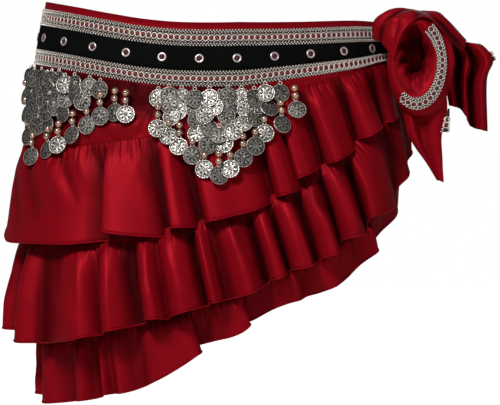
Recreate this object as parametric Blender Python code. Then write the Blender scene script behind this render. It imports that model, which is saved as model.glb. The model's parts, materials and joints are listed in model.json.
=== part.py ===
"""A belly dance hip scarf, tied round the hips, as one object for each piece that is cut and sewn on.

The scarf keeps the hollow form that it has when it is worn. The origin is the centre of the hips at
the middle of the band, X runs to the knot, -Y is the front and Z is up. Sizes are in millimetres, and
MM turns them into metres where a mesh is made.
"""

import math

import bpy
from mathutils import Vector

MM = 0.001

# Driving sizes of the body's round and of the cloth
HIP_HALF_WIDTH = 173.0
HIP_HALF_DEPTH = 112.0
SATIN = 1.2
SEAM_GAP = 0.3
CENTRE_ANGLE = 21.0
ARC_STEPS = 1440

# Sizes of the band's strips, measured up or down from the middle of the black ribbon
RIM_ABOVE = 35.0
EDGE_STRIP = 7.0
RIBBON_HALF = 11.8
BAND_BELOW = 27.0
BACK_DIP = 4.0

# How far round the pieces run, from the centre line, along the hips
SIDE_SEAM = -42.3
BAND_FRONT_END = 394.0
BAND_BACK_END = -482.0
TIER_FRONT_END = 408.0
TIER_BACK_END = -412.0
TIE_START = 400.0
TIE_TAPER = 34.0
BASE_COLUMNS_FRONT = 32
BASE_COLUMNS_BACK = 32

# Outer face of a strip from its upper to its lower edge
BRAID_PROFILE = (
    # share of the width, mm thick
    (0.0, 1.9),
    (0.26, 1.2),
    (0.74, 1.2),
    (1.0, 1.9),
)
RIBBON_PROFILE = ((0.0, 1.2), (1.0, 1.2))

# Eyelets, coins and beads
EYELET_COUNT = 23
EYELET_PITCH = 35.6
EYELET_FIRST = 349.0
EYELET_OUTER = 4.4
EYELET_INNER = 2.4
EYELET_CREST = 0.4
EYELET_THICK = 1.1
EYELET_SIDES = 8
EYELET_SEAT = 2.0
COIN_RADIUS = 9.2
COIN_THICK = 2.2
COIN_SIDES = 7
BEAD_RADIUS = 3.6
BEAD_SIDES = 5
BEAD_DROP = 6.8
BEAD_NECK = 1.4
BEAD_SUNK = 2.5

# Height of the band's middle by angle from the left hip; the left hip is worn higher
BAND_LEVEL = (
    # angle, height
    (0.0, 19.0),
    (13.0, 17.0),
    (27.0, 13.0),
    (40.0, 8.0),
    (55.0, 0.7),
    (67.0, -5.0),
    (80.0, -8.6),
    (98.0, -8.6),
    (118.0, -4.6),
    (139.0, 0.8),
    (156.0, 5.0),
    (180.0, 8.0),
)

# How much of its width the band keeps as it is drawn into the knot
NARROWING = (
    # mm from the knot, above the ribbon, ribbon and below
    (0.0, 0.68, 0.42),
    (49.0, 0.74, 0.50),
    (82.0, 0.83, 0.65),
    (150.0, 0.92, 0.84),
    (200.0, 1.00, 1.00),
)

# Depths below the band's lower edge, by distance round from the centre line
DEPTHS = (
    # mm round, yoke, first hem, second hem, third hem
    (0.0, 87.0, 174.0, 268.0, 330.0),
    (50.0, 72.0, 167.0, 260.0, 318.0),
    (100.0, 57.0, 152.0, 239.0, 298.0),
    (150.0, 44.0, 138.0, 220.0, 270.0),
    (200.0, 28.0, 124.0, 202.0, 238.0),
    (250.0, 14.0, 107.0, 184.0, 215.0),
    (300.0, 6.0, 83.0, 168.0, 203.0),
    (340.0, 3.5, 64.0, 148.0, 182.0),
    (380.0, 3.0, 52.0, 108.0, 150.0),
    (410.0, 3.0, 44.0, 84.0, 124.0),
)
YOKE, HEM_1, HEM_2, HEM_3 = 1, 2, 3, 4

# How far the cloth stands out from the hip line, by depth below the band's lower edge
STAND_OUT = (
    # mm below the band's lower edge, mm out
    (-62.0, -4.0),
    (0.0, 6.0),
    (86.0, 14.0),
    (170.0, 12.0),
    (265.0, -2.0),
    (330.0, -4.0),
)

# Lean of the folds away from the centre line, mm along for each mm down
FOLD_LEAN = (
    # mm round, lean
    (0.0, 0.0),
    (60.0, 0.10),
    (150.0, 0.30),
    (260.0, 0.42),
    (410.0, 0.34),
)

# Shape of each tier from its gathers to its hem, out from the cloth that it is sewn to
TIER_1_SHAPE = (
    # share of the drop, mm out in a valley, mm out on a ridge
    (0.0, 1.5, 2.2),
    (0.25, 3.4, 9.0),
    (0.60, 6.0, 18.0),
    (1.0, 8.0, 26.0),
)
TIER_2_SHAPE = (
    (0.0, 1.5, 2.2),
    (0.26, 9.0, 20.0),
    (0.62, 13.0, 26.5),
    (1.0, 14.0, 28.0),
)
TIER_3_SHAPE = (
    (0.0, 1.5, 2.2),
    (0.28, 3.0, 8.0),
    (0.62, 0.5, 9.0),
    (1.0, -2.0, 10.0),
)

# Folds of each tier: the valley where a fold starts and how deep it is against its tier's shape
TIER_1_FOLDS = (
    # mm round, depth
    (20.0, 0.90),
    (58.0, 1.00),
    (94.0, 0.90),
    (114.0, 1.00),
    (146.0, 1.00),
    (178.0, 1.00),
    (206.0, 0.85),
    (236.0, 0.80),
    (254.0, 0.95),
    (276.0, 1.00),
    (298.0, 0.95),
    (318.0, 0.80),
    (338.0, 0.65),
    (362.0, 0.45),
    (386.0, 0.30),
)
TIER_2_FOLDS = (
    (24.0, 0.95),
    (54.0, 1.00),
    (82.0, 0.90),
    (109.0, 0.85),
    (130.0, 0.90),
    (152.0, 1.00),
    (176.0, 0.90),
    (199.0, 1.00),
    (222.0, 0.95),
    (243.0, 1.00),
    (264.0, 0.95),
    (284.0, 0.90),
    (304.0, 1.00),
    (325.0, 0.95),
    (348.0, 1.00),
    (372.0, 0.80),
    (392.0, 0.60),
)
TIER_3_FOLDS = (
    (16.0, 0.80),
    (44.0, 1.00),
    (70.0, 0.80),
    (92.0, 0.90),
    (116.0, 1.00),
    (142.0, 0.85),
    (166.0, 1.00),
    (194.0, 0.80),
    (218.0, 1.00),
    (244.0, 0.90),
    (270.0, 1.00),
    (296.0, 0.90),
    (320.0, 0.80),
    (344.0, 0.90),
    (368.0, 0.70),
    (390.0, 0.60),
)
FOLD_ROUNDNESS = 0.8
FOLD_COLUMN_WIDTH = 6.5
FEWEST_FOLD_COLUMNS = 4
HEM_RISE = 7.0
TIER_OVERLAP = 5.0
BASE_BELOW_TIER = 4.0
BASE_TAPER_SHARE = 0.97
FRAME_REACH = 4.0
BACK_FOLD_SPREAD = 0.985
BACK_FOLD_DRIFT = 3.0
FOLD_DRIFT_RATE = 2.4

# Coins of one fringe, from the lower braid down: full rows, then coins that hang on beads
COIN_ROWS = (
    # mm below the braid, coins, mm apart, mm out
    (11.0, 7, 16.5, 0.0),
    (22.5, 6, 16.5, 0.9),
    (34.0, 4, 16.5, 1.8),
    (45.5, 2, 16.0, 2.7),
)
HANGING_COINS = (
    # mm to the side, mm below the braid, beads above
    (54.0, 34.0, 1),
    (39.5, 47.0, 1),
    (24.5, 58.5, 1),
    (9.5, 76.5, 2),
)
FRINGE_CENTRES = (
    # name, mm round, mm clear of the cloth
    ("front", 193.0, 2.6),
    ("side", 8.0, 1.5),
    ("back", -178.0, 2.6),
)
COIN_YAW = 0.04
COIN_STAGGER = 0.25
HANGING_LIFT = 0.9
MOST_LIFT = 2.7
CURVE_STEPS = 8

# The bow's loop, a roll of satin seen into its open end: its rings from the throat round to the back
LOOP_RINGS = (
    # place, y, left x, right x, lowest z, highest z
    (0.0, -61.0, 183.0, 206.0, -22.0, 13.0),
    (1.0, -88.0, 180.0, 208.0, -27.0, 23.0),
    (2.0, -98.0, 173.5, 214.5, -45.0, 27.0),
    (3.0, -92.0, 169.0, 223.5, -56.5, 31.0),
    (4.0, -78.0, 169.0, 231.0, -62.0, 33.0),
    (5.0, -62.0, 172.5, 222.0, -48.0, 23.0),
    (6.0, -52.0, 173.4, 211.3, -29.4, 15.4),
)
LOOP_COLUMNS = 20
LOOP_BRAID_FROM = -126.0
LOOP_BRAID_TO = 54.0
LOOP_BRAID_COLUMNS = 10
LOOP_BRAID_INNER = 2.06
LOOP_BRAID_OUTER = 2.94
LOOP_BRAID_THICK = 1.5
LOOP_BRAID_CLEAR = 0.7
PLACE_STEP = 0.05
TURN_STEP = 0.01
KNOT_WALL = 1.8
KNOT_GAP = 1.8

# Cloth that comes off the band and passes over the loop: its edge on the loop and its top edge
WRAP_EDGES = (
    # lower edge x, y, z, top edge x, y, z
    (172.0, -102.9, -9.0, 154.0, -61.5, 13.0),
    (177.0, -102.9, 8.0, 155.0, -61.0, 29.0),
    (184.0, -102.9, 21.0, 164.0, -62.0, 38.0),
    (194.0, -101.9, 30.3, 179.0, -60.0, 42.5),
    (206.0, -98.3, 32.4, 200.0, -58.0, 39.0),
    (217.0, -94.0, 30.0, 217.0, -58.0, 39.0),
    (229.0, -86.0, 20.0, 229.0, -54.0, 32.0),
    (239.0, -76.0, 7.0, 247.0, -50.0, 13.0),
)
WRAP_CROWN = 4.0
WRAP_LEAN = (0.2, -0.5, 1.0)
WRAP_ACROSS = 4

# Tail that hangs from under the loop: its side edges from the loop to the tip
TAIL_FRONT_EDGES = (
    # left x, left z, right x, right z, y, share of the folds
    (181.0, -62.0, 225.0, -42.0, -78.0, 1.0),
    (187.0, -79.0, 226.0, -60.0, -77.0, 1.0),
    (195.0, -93.0, 221.0, -82.0, -75.0, 1.0),
    (206.0, -108.0, 222.0, -104.0, -72.0, 1.0),
    (216.0, -124.0, 223.0, -127.0, -70.0, 1.0),
)
TAIL_FRONT_FOLDS = (
    # share across, mm forward, mm lower at the hem
    (0.0, 0.0, 0.0),
    (0.16, 4.5, 0.0),
    (0.34, -4.5, 0.0),
    (0.62, 2.5, 0.0),
    (0.86, 4.5, 0.0),
    (1.0, 2.0, 0.0),
)
TAIL_FRONT_COLUMNS = 8

# Wide tail that starts behind the cloth over the loop and stands out to the side, in deep upright folds
TAIL_SIDE_EDGES = (
    (214.0, 24.0, 250.0, 10.0, -46.0, 0.2),
    (222.0, 5.0, 262.0, 7.0, -60.0, 0.7),
    (225.0, -12.0, 272.0, -8.0, -62.0, 1.0),
    (225.0, -29.0, 266.0, -28.0, -62.0, 1.0),
    (229.0, -52.0, 267.0, -77.0, -59.0, 1.0),
)
TAIL_SIDE_FOLDS = (
    (0.0, 2.0, 0.0),
    (0.13, 7.0, -2.0),
    (0.3, -7.0, -5.0),
    (0.46, 4.5, 1.0),
    (0.62, -8.0, 5.0),
    (0.84, 7.0, 3.0),
    (1.0, 1.0, 0.0),
)
TAIL_SIDE_COLUMNS = 12
FOLD_WIDTH_FULL = 36.0

# Heart of the knot, where the folded layers share one rounded body
KNOT_CENTRE = (193.0, -40.9, -7.0)
KNOT_RADII = (20.0, 20.6, 25.0)
KNOT_SEGMENTS = 14
KNOT_RINGS = 9

# Tie that closes the band at the right hip, over both of its ends
TIE_FROM = -470.0
TIE_TO = 388.0
TIE_COLUMNS = 7
TIE_ROWS = 3
TIE_CROWN = 2.0
TIE_BULGE = (
    # share of the way round, mm out
    (0.0, 4.0),
    (0.3, 6.8),
    (0.7, 6.8),
    (1.0, 4.0),
)


def clear_scene():
    """Removes what the scene holds, so that only the scarf is left in it."""
    for obj in list(bpy.data.objects):
        bpy.data.objects.remove(obj, do_unlink=True)


def read_table(table, at, column=1):
    """A table's value at any place, on a smooth curve through its rows and level past its ends."""
    if at <= table[0][0]:
        return table[0][column]
    if at >= table[-1][0]:
        return table[-1][column]
    row = next(i for i in range(len(table) - 1) if at <= table[i + 1][0])
    x0, x1 = table[row][0], table[row + 1][0]
    y0, y1 = table[row][column], table[row + 1][column]

    def slope(i):
        low, high = max(i - 1, 0), min(i + 1, len(table) - 1)
        return (table[high][column] - table[low][column]) / (table[high][0] - table[low][0])

    t = (at - x0) / (x1 - x0)
    start, end = slope(row) * (x1 - x0), slope(row + 1) * (x1 - x0)
    return (
        y0 * (2 * t**3 - 3 * t**2 + 1)
        + start * (t**3 - 2 * t**2 + t)
        + y1 * (3 * t**2 - 2 * t**3)
        + end * (t**3 - t**2)
    )


def arc_lengths():
    """Distance along the hip ellipse from the left hip, at equal steps of angle round to it again."""
    step = 2 * math.pi / ARC_STEPS
    lengths = [0.0]
    for i in range(ARC_STEPS):
        angle = (i + 0.5) * step
        speed = math.hypot(HIP_HALF_WIDTH * math.sin(angle), HIP_HALF_DEPTH * math.cos(angle))
        lengths.append(lengths[-1] + speed * step)
    return lengths


ARC = arc_lengths()
ROUND = ARC[-1]
CENTRE_ARC = ARC[round(CENTRE_ANGLE * ARC_STEPS / 360)]
KNOT_FRONT = ROUND / 2 - CENTRE_ARC
KNOT_BACK = -ROUND / 2 - CENTRE_ARC


def angle_at(along):
    """Angle round the hips, in radians from the left hip, at a distance round from the centre line."""
    arc = (along + CENTRE_ARC) % ROUND
    low, high = 0, ARC_STEPS
    while high - low > 1:
        middle = (low + high) // 2
        if ARC[middle] <= arc:
            low = middle
        else:
            high = middle
    part = (arc - ARC[low]) / (ARC[high] - ARC[low])
    return (low + part) * 2 * math.pi / ARC_STEPS


def outward(along):
    angle = angle_at(along)
    return Vector((-math.cos(angle) / HIP_HALF_WIDTH, -math.sin(angle) / HIP_HALF_DEPTH, 0)).normalized()


def on_hips(along, out, height):
    """The point this far round from the centre line, this far out from the hip line, at this height."""
    angle = angle_at(along)
    x = -HIP_HALF_WIDTH * math.cos(angle)
    y = -HIP_HALF_DEPTH * math.sin(angle)
    return Vector((x, y, height)) + outward(along) * out


def from_knot(along):
    return max(KNOT_FRONT - along if along > 0 else along - KNOT_BACK, 0.0)


def band_middle(along):
    angle = math.degrees(angle_at(along))
    dip = BACK_DIP * max(0.0, -math.sin(math.radians(angle)))
    return read_table(BAND_LEVEL, min(angle, 360 - angle)) - dip


def band_line(along, name):
    """Height of one of the band's lines: its rim, the ribbon's two edges and its lower edge."""
    upper = read_table(NARROWING, from_knot(along), 1)
    lower = read_table(NARROWING, from_knot(along), 2)
    offsets = {
        "rim": RIM_ABOVE * upper,
        "strip": (RIM_ABOVE - EDGE_STRIP) * upper,
        "ribbon_top": RIBBON_HALF * lower,
        "ribbon_bottom": -RIBBON_HALF * lower,
        "bottom": -BAND_BELOW * lower,
    }
    return band_middle(along) + offsets[name]


def depth_line(along, column):
    """Height of the yoke's lower edge or of a hem, which follow the distance from the centre line."""
    return band_line(along, "bottom") - read_table(DEPTHS, abs(along), column)


def stand_out(along, height):
    return read_table(STAND_OUT, band_line(along, "bottom") - height)


def base_point(along, height, out=0.0):
    """A point on the satin base, or this far out from it."""
    return on_hips(along, stand_out(along, height) + out, height)


def spaced(start, end, count):
    return [start + (end - start) * i / count for i in range(count + 1)]


def material(name, colour, roughness, metallic):
    made = bpy.data.materials.new(name)
    made.use_nodes = True
    shader = made.node_tree.nodes["Principled BSDF"]
    shader.inputs["Base Color"].default_value = (*colour, 1.0)
    shader.inputs["Roughness"].default_value = roughness
    shader.inputs["Metallic"].default_value = metallic
    made.diffuse_color = (*colour, 1.0)
    return made


def add_object(name, points, faces, finish):
    mesh = bpy.data.meshes.new(name)
    mesh.from_pydata([tuple(point * MM) for point in points], [], faces)
    mesh.materials.append(finish)
    mesh.shade_smooth()
    mesh.set_sharp_from_angle(angle=math.radians(40))
    obj = bpy.data.objects.new(name, mesh)
    bpy.context.scene.collection.objects.link(obj)
    return obj


def thicken(obj, wall):
    """Gives a sheet its thickness on the inside, and closes its edges."""
    thick = obj.modifiers.new("Wall", "SOLIDIFY")
    thick.thickness = wall * MM
    thick.offset = -1.0
    thick.use_rim = True


def add_wall(name, rows, wall, finish):
    """A cloth wall under a sheet of rows, each row running the same way, with the outside in front."""
    width = len(rows[0])
    points = [point for row in rows for point in row]
    faces = [
        (i * width + j, (i + 1) * width + j, (i + 1) * width + j + 1, i * width + j + 1)
        for i in range(len(rows) - 1)
        for j in range(width - 1)
    ]
    thicken(add_object(name, points, faces, finish), wall)


def base_drop(along, height):
    """A lower line of the base, drawn up under the band where the tiers end and the tie begins."""
    past = (abs(along) - TIE_START) / TIE_TAPER
    keep = 1 - min(max(past, 0.0), 1.0) * BASE_TAPER_SHARE
    bottom = band_line(along, "bottom")
    return bottom + (height - bottom) * keep


def base_rows(columns):
    """Rows of the satin base at each column: rim, band, yoke and the lines that carry the tiers."""
    rows = []
    for line in ("rim", "bottom"):
        rows.append([base_point(s, band_line(s, line)) for s in columns])
    rows.append([base_point(s, depth_line(s, YOKE)) for s in columns])
    for hem, lift in ((HEM_1, TIER_OVERLAP), (HEM_2, TIER_OVERLAP - BASE_BELOW_TIER)):
        rows.append([base_point(s, base_drop(s, depth_line(s, hem) + lift)) for s in columns])
    return rows


def make_base(finish):
    front = spaced(SIDE_SEAM, BAND_FRONT_END, BASE_COLUMNS_FRONT)
    back = spaced(BAND_BACK_END, SIDE_SEAM - SEAM_GAP, BASE_COLUMNS_BACK)
    add_wall("base_front", base_rows(front), SATIN, finish)
    add_wall("base_back", base_rows(back), SATIN, finish)
    return back[:-1] + front


def make_band(columns, braid, ribbon):
    make_strip("braid_upper", "strip", "ribbon_top", columns, braid, BRAID_PROFILE)
    make_strip("ribbon_black", "ribbon_top", "ribbon_bottom", columns, ribbon, RIBBON_PROFILE)
    make_strip("braid_lower", "ribbon_bottom", "bottom", columns, braid, BRAID_PROFILE)


def make_strip(name, top, bottom, columns, finish, profile):
    """A closed strip laid on the band between two of its lines, 0.3 mm clear of what is beside it."""
    width = len(columns)
    rows = []
    for share, thick in profile:
        rows.append([strip_point(s, top, bottom, share, SEAM_GAP + thick) for s in columns])
    for share in (1.0, 0.0):
        rows.append([strip_point(s, top, bottom, share, SEAM_GAP) for s in columns])
    points = [point for row in rows for point in row]
    count = len(rows)
    faces = []
    for i in range(count):
        k = (i + 1) % count
        for j in range(width - 1):
            faces.append((i * width + j, k * width + j, k * width + j + 1, i * width + j + 1))
    faces.append(tuple(i * width for i in reversed(range(count))))
    faces.append(tuple(i * width + width - 1 for i in range(count)))
    add_object(name, points, faces, finish)


def strip_point(along, top, bottom, share, out):
    upper = band_line(along, top) - SEAM_GAP / 2
    lower = band_line(along, bottom) + SEAM_GAP / 2
    return base_point(along, upper + (lower - upper) * share, out)


def fold_columns(folds):
    """Columns across a tier: distance round, how far up its ridge, and the fold's depth."""
    starts = [(s, depth) for s, depth in folds] + [(TIER_FRONT_END, 0.0)]
    sides = [[], []]
    for i in range(len(starts) - 1):
        (start, depth), (end, _) = starts[i], starts[i + 1]
        sides[0].append((start, end, depth))
        drift = BACK_FOLD_DRIFT * math.sin(FOLD_DRIFT_RATE * i)
        next_drift = BACK_FOLD_DRIFT * math.sin(FOLD_DRIFT_RATE * (i + 1))
        near = -(start * BACK_FOLD_SPREAD + drift)
        far = -(end * BACK_FOLD_SPREAD + next_drift) if i < len(starts) - 2 else TIER_BACK_END
        sides[1].append((far, near, depth))
    middle = (sides[1][0][1], sides[0][0][0], 1.0)
    columns = []
    for start, end, depth in sides[1][::-1] + [middle] + sides[0]:
        count = max(FEWEST_FOLD_COLUMNS, round((end - start) / FOLD_COLUMN_WIDTH))
        for i in range(count):
            columns.append((start + (end - start) * i / count, fold_height(i / count), depth))
    columns.append((TIER_FRONT_END, 0.0, 0.0))
    return columns


def fold_height(share):
    """A fold's rise across its width: round on the ridge and narrow in the valleys."""
    return math.sin(math.pi * share) ** FOLD_ROUNDNESS if share > 0 else 0.0


def tier_point(column, share, top_line, hem_line, shape):
    """One point of a tier: its column, how far down it is, its two lines and its shape."""
    along, ridge, depth = column
    lean = read_table(FOLD_LEAN, abs(along)) * (1 if along > 0 else -1)
    drop = top_line(along) - hem_line(along)
    s = along + lean * drop * (share - 0.5)
    top = top_line(s)
    hem = hem_line(s) + HEM_RISE * (1 - ridge * depth)
    valley = read_table(shape, share, 1)
    out = valley + (read_table(shape, share, 2) - valley) * ridge * depth
    return on_hips(s, stand_out(s, top) + out, top + (hem - top) * share)


def make_tier(number, folds, top_line, hem_line, shape, finish):
    columns = fold_columns(folds)
    valleys = [i for i, (_, ridge, _) in enumerate(columns) if ridge == 0.0]
    seam = min(valleys, key=lambda i: abs(columns[i][0] - SIDE_SEAM))
    halves = {"back": columns[: seam + 1], "front": columns[seam:]}
    s, ridge, depth = halves["back"][-1]
    halves["back"][-1] = (s - SEAM_GAP, ridge, depth)
    for side, part in halves.items():
        rows = [[tier_point(c, row[0], top_line, hem_line, shape) for c in part] for row in shape]
        add_wall(f"tier_{number}_{side}", rows, SATIN, finish)


def make_tiers(finish):
    """Three ruffled tiers, each sewn on at its gathers and hanging over the one below it."""

    def line(column, lift=0.0):
        return lambda along: depth_line(along, column) + lift

    make_tier(1, TIER_1_FOLDS, line(YOKE), line(HEM_1), TIER_1_SHAPE, finish)
    make_tier(2, TIER_2_FOLDS, line(HEM_1, TIER_OVERLAP), line(HEM_2), TIER_2_SHAPE, finish)
    make_tier(3, TIER_3_FOLDS, line(HEM_2, TIER_OVERLAP), line(HEM_3), TIER_3_SHAPE, finish)


def frame_on_base(along, height):
    """Directions round the hips, up the cloth and out of it at a point of the base."""
    up = (base_point(along, height + FRAME_REACH) - base_point(along, height - FRAME_REACH)).normalized()
    across = up.cross(outward(along)).normalized()
    return across, up, across.cross(up)


def make_eyelets(finish):
    """Metal rings pressed on the black ribbon at an even pitch, all round the band."""
    for number in range(EYELET_COUNT):
        along = EYELET_FIRST - number * EYELET_PITCH
        height = band_middle(along)
        across, up, out = frame_on_base(along, height)
        middle = base_point(along, height) + out * EYELET_SEAT
        points = []
        for side in range(EYELET_SIDES):
            turn = 2 * math.pi * side / EYELET_SIDES
            ray = across * math.cos(turn) + up * math.sin(turn)
            for radius, rise in (
                (EYELET_OUTER, 0.0),
                ((EYELET_OUTER + EYELET_INNER) / 2 + EYELET_CREST, EYELET_THICK),
                (EYELET_INNER, 0.0),
            ):
                points.append(middle + ray * radius + out * rise)
        faces = []
        for side in range(EYELET_SIDES):
            near, far = side * 3, (side + 1) % EYELET_SIDES * 3
            for k in range(3):
                faces.append((near + k, far + k, far + (k + 1) % 3, near + (k + 1) % 3))
        add_object(f"eyelet_{number + 1:02d}", points, faces, finish)


def covered_out(along, drop):
    """How far out the yoke, or the ridges of the first tier below it, reach at a depth below the band."""
    yoke, hem = read_table(DEPTHS, abs(along), YOKE), read_table(DEPTHS, abs(along), HEM_1)
    if drop <= yoke:
        return read_table(STAND_OUT, drop)
    share = min((drop - yoke) / (hem - yoke), 1.0)
    return read_table(STAND_OUT, yoke) + read_table(TIER_1_SHAPE, share, 2)


def fringe_frame(along, drop, lift):
    """Middle and directions of a coin that lies on the cloth at a depth below the band."""
    height = band_line(along, "bottom") - drop
    upper = covered_out(along, drop - COIN_RADIUS) + lift
    lower = covered_out(along, drop + COIN_RADIUS) + lift
    top = on_hips(along, upper, height + COIN_RADIUS)
    bottom = on_hips(along, lower, height - COIN_RADIUS)
    up = (top - bottom).normalized()
    across = up.cross(outward(along)).normalized()
    return (top + bottom) / 2, across, up, across.cross(up)


def coin_shape(along, drop, lift, yaw):
    """Points and faces of one coin, a flat disc of a few sides turned a little to one side."""
    middle, across, up, out = fringe_frame(along, drop, lift)
    across = (across + out * yaw).normalized()
    out = across.cross(up)
    rings = [[], []]
    for side in range(COIN_SIDES):
        turn = 2 * math.pi * (side + 0.5) / COIN_SIDES
        ray = across * math.cos(turn) + up * math.sin(turn)
        rings[0].append(middle + ray * COIN_RADIUS)
        rings[1].append(middle + ray * COIN_RADIUS + out * COIN_THICK)
    n = COIN_SIDES
    faces = [tuple(reversed(range(n))), tuple(range(n, 2 * n))]
    faces += [(i, (i + 1) % n, n + (i + 1) % n, n + i) for i in range(n)]
    return rings[0] + rings[1], faces


def bead_shape(along, drop, lift, beads):
    """Points and faces of the beads above a hanging coin, one turned body that runs into both coins."""
    middle, across, up, out = fringe_frame(along, drop, lift)
    foot = middle + up * (COIN_RADIUS - BEAD_SUNK) + out * COIN_THICK / 2
    profile = [(0.0, BEAD_NECK)]
    for bead in range(beads):
        start = BEAD_SUNK + bead * BEAD_DROP
        profile += [(start + BEAD_DROP / 2, BEAD_RADIUS), (start + BEAD_DROP, BEAD_NECK)]
    profile[-1] = (profile[-1][0] + BEAD_SUNK, BEAD_NECK)
    points, faces = [], []
    for rise, radius in profile:
        for side in range(BEAD_SIDES):
            turn = 2 * math.pi * side / BEAD_SIDES
            points.append(foot + up * rise + (across * math.cos(turn) + out * math.sin(turn)) * radius)
    n = BEAD_SIDES
    for k in range(len(profile) - 1):
        faces += [(k * n + (i + 1) % n, k * n + i, k * n + n + i, k * n + n + (i + 1) % n) for i in range(n)]
    faces += [tuple(range(n)), tuple(reversed(range(len(points) - n, len(points))))]
    return points, faces


def moved_round(centre, side, out):
    """The place this far to one side of a centre, measured on a surface this far out from the hips."""
    along = centre
    for _ in range(CURVE_STEPS):
        angle = angle_at(along)
        speed = math.hypot(HIP_HALF_WIDTH * math.sin(angle), HIP_HALF_DEPTH * math.cos(angle))
        along += side / CURVE_STEPS / (1 + out * HIP_HALF_WIDTH * HIP_HALF_DEPTH / speed**3)
    return along


def fringe_shapes(centre, clearance):
    """Every coin and bead of one fringe, as separate shapes that run a little into each other."""
    shapes = []
    for row, (drop, count, pitch, lift) in enumerate(COIN_ROWS):
        for i in range(count):
            out = covered_out(centre, drop) + lift + clearance
            along = moved_round(centre, (i - (count - 1) / 2) * pitch, out)
            turn = 1 if (i + row) % 2 else -1
            rise = clearance + lift + COIN_STAGGER * turn
            shapes.append(coin_shape(along, drop, rise, COIN_YAW * turn))
    for number, (side, drop, beads) in enumerate(HANGING_COINS):
        lift = clearance + min(HANGING_LIFT * (number + 1), MOST_LIFT)
        for mirrored in (-1, 1):
            along = moved_round(centre, side * mirrored, covered_out(centre, drop) + lift)
            shapes.append(coin_shape(along, drop, lift, COIN_YAW * mirrored))
            shapes.append(bead_shape(along, drop, lift, beads))
    return shapes


def make_fringe(name, centre, clearance, finish):
    """One coin fringe: its coins and beads joined into a single body."""
    points, faces = [], []
    first_coin, *others = fringe_shapes(centre, clearance)
    for shape_points, shape_faces in others:
        first = len(points)
        points += shape_points
        faces += [tuple(first + i for i in face) for face in shape_faces]
    fringe = add_object(name, points, faces, finish)
    start = add_object(name + "_first_coin", *first_coin, finish)
    start.hide_render = True
    start.display_type = "WIRE"
    join = fringe.modifiers.new("Join", "BOOLEAN")
    join.operation = "UNION"
    join.object = start
    join.use_self = True


def loop_point(place, angle, out=0.0):
    """A point on the loop's roll, by its place between the rings and the angle round it, or out from it."""

    def on_roll(where, turn):
        back, left, right, low, high = (read_table(LOOP_RINGS, where, k) for k in range(1, 6))
        x = (left + right) / 2 + (right - left) / 2 * math.cos(turn)
        z = (low + high) / 2 + (high - low) / 2 * math.sin(turn)
        return Vector((x, back, z))

    turn = math.radians(angle)
    point = on_roll(place, turn)
    if out:
        along = on_roll(place + PLACE_STEP, turn) - on_roll(place - PLACE_STEP, turn)
        across = on_roll(place, turn + TURN_STEP) - on_roll(place, turn - TURN_STEP)
        point = point + along.cross(across).normalized() * out
    return point


def make_loop(satin, braid):
    """The loop and the braid that is sewn round its front edge."""
    angles = spaced(0.0, 360.0, LOOP_COLUMNS)[:-1]
    points = [loop_point(ring[0], angle) for ring in LOOP_RINGS for angle in angles]
    faces = []
    for i in range(len(LOOP_RINGS) - 1):
        for j in range(LOOP_COLUMNS):
            k = (j + 1) % LOOP_COLUMNS
            a, b = i * LOOP_COLUMNS, (i + 1) * LOOP_COLUMNS
            faces.append((a + j, b + j, b + k, a + k))
    thicken(add_object("bow_loop", points, faces, satin), KNOT_WALL)
    rows = []
    for angle in spaced(LOOP_BRAID_FROM, LOOP_BRAID_TO, LOOP_BRAID_COLUMNS):
        row = []
        for place in (LOOP_BRAID_INNER, LOOP_BRAID_OUTER):
            row.append(loop_point(place, angle, LOOP_BRAID_CLEAR + LOOP_BRAID_THICK))
        rows.append(row)
    add_wall("braid_loop", rows[::-1], LOOP_BRAID_THICK, braid)


def make_wrap(finish):
    """Satin that comes off the band on the left and crosses over the top of the loop."""
    rows = []
    lean = Vector(WRAP_LEAN).normalized()
    for share in spaced(0.0, 1.0, WRAP_ACROSS):
        row = []
        for edge in WRAP_EDGES:
            lower, top = Vector(edge[:3]), Vector(edge[3:])
            row.append(top.lerp(lower, share) + lean * WRAP_CROWN * math.sin(math.pi * share))
        rows.append(row)
    add_wall("knot_wrap", rows, KNOT_WALL, finish)


def under_loop(x):
    """Height of the loop's widest ring on its underside."""
    left, right, low, high = LOOP_RINGS[4][2:]
    share = (x - (left + right) / 2) / ((right - left) / 2)
    return (low + high) / 2 - (high - low) / 2 * math.sqrt(max(1 - share * share, 0.0))


def make_tail(name, edges, folds, columns, finish, hangs_from_loop=False):
    """A tail of cloth between two side edges, in upright folds that open towards its end."""
    rows = []
    for number, (left_x, left_z, right_x, right_z, back, deep) in enumerate(edges):
        row = []
        to_hem = number / (len(edges) - 1)
        for share in spaced(0.0, 1.0, columns):
            x = left_x + (right_x - left_x) * share
            z = left_z + (right_z - left_z) * share - read_table(folds, share, 2) * to_hem
            if hangs_from_loop and number == 0:
                z = under_loop(x) - KNOT_GAP
            forward = read_table(folds, share) * deep * (right_x - left_x) / FOLD_WIDTH_FULL
            row.append(Vector((x, back - forward, z)))
        rows.append(row)
    add_wall(name, rows, KNOT_WALL, finish)


def make_knot(finish):
    """The rounded heart of the knot, between the band's closing and the loop."""
    bpy.ops.mesh.primitive_uv_sphere_add(segments=KNOT_SEGMENTS, ring_count=KNOT_RINGS, radius=1.0)
    heart = bpy.context.object
    heart.name = "knot_heart"
    heart.data.name = "knot_heart"
    for vertex in heart.data.vertices:
        place = [middle + radius * c for middle, radius, c in zip(KNOT_CENTRE, KNOT_RADII, vertex.co)]
        vertex.co = Vector(place) * MM
    heart.data.materials.append(finish)
    heart.data.shade_smooth()


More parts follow.
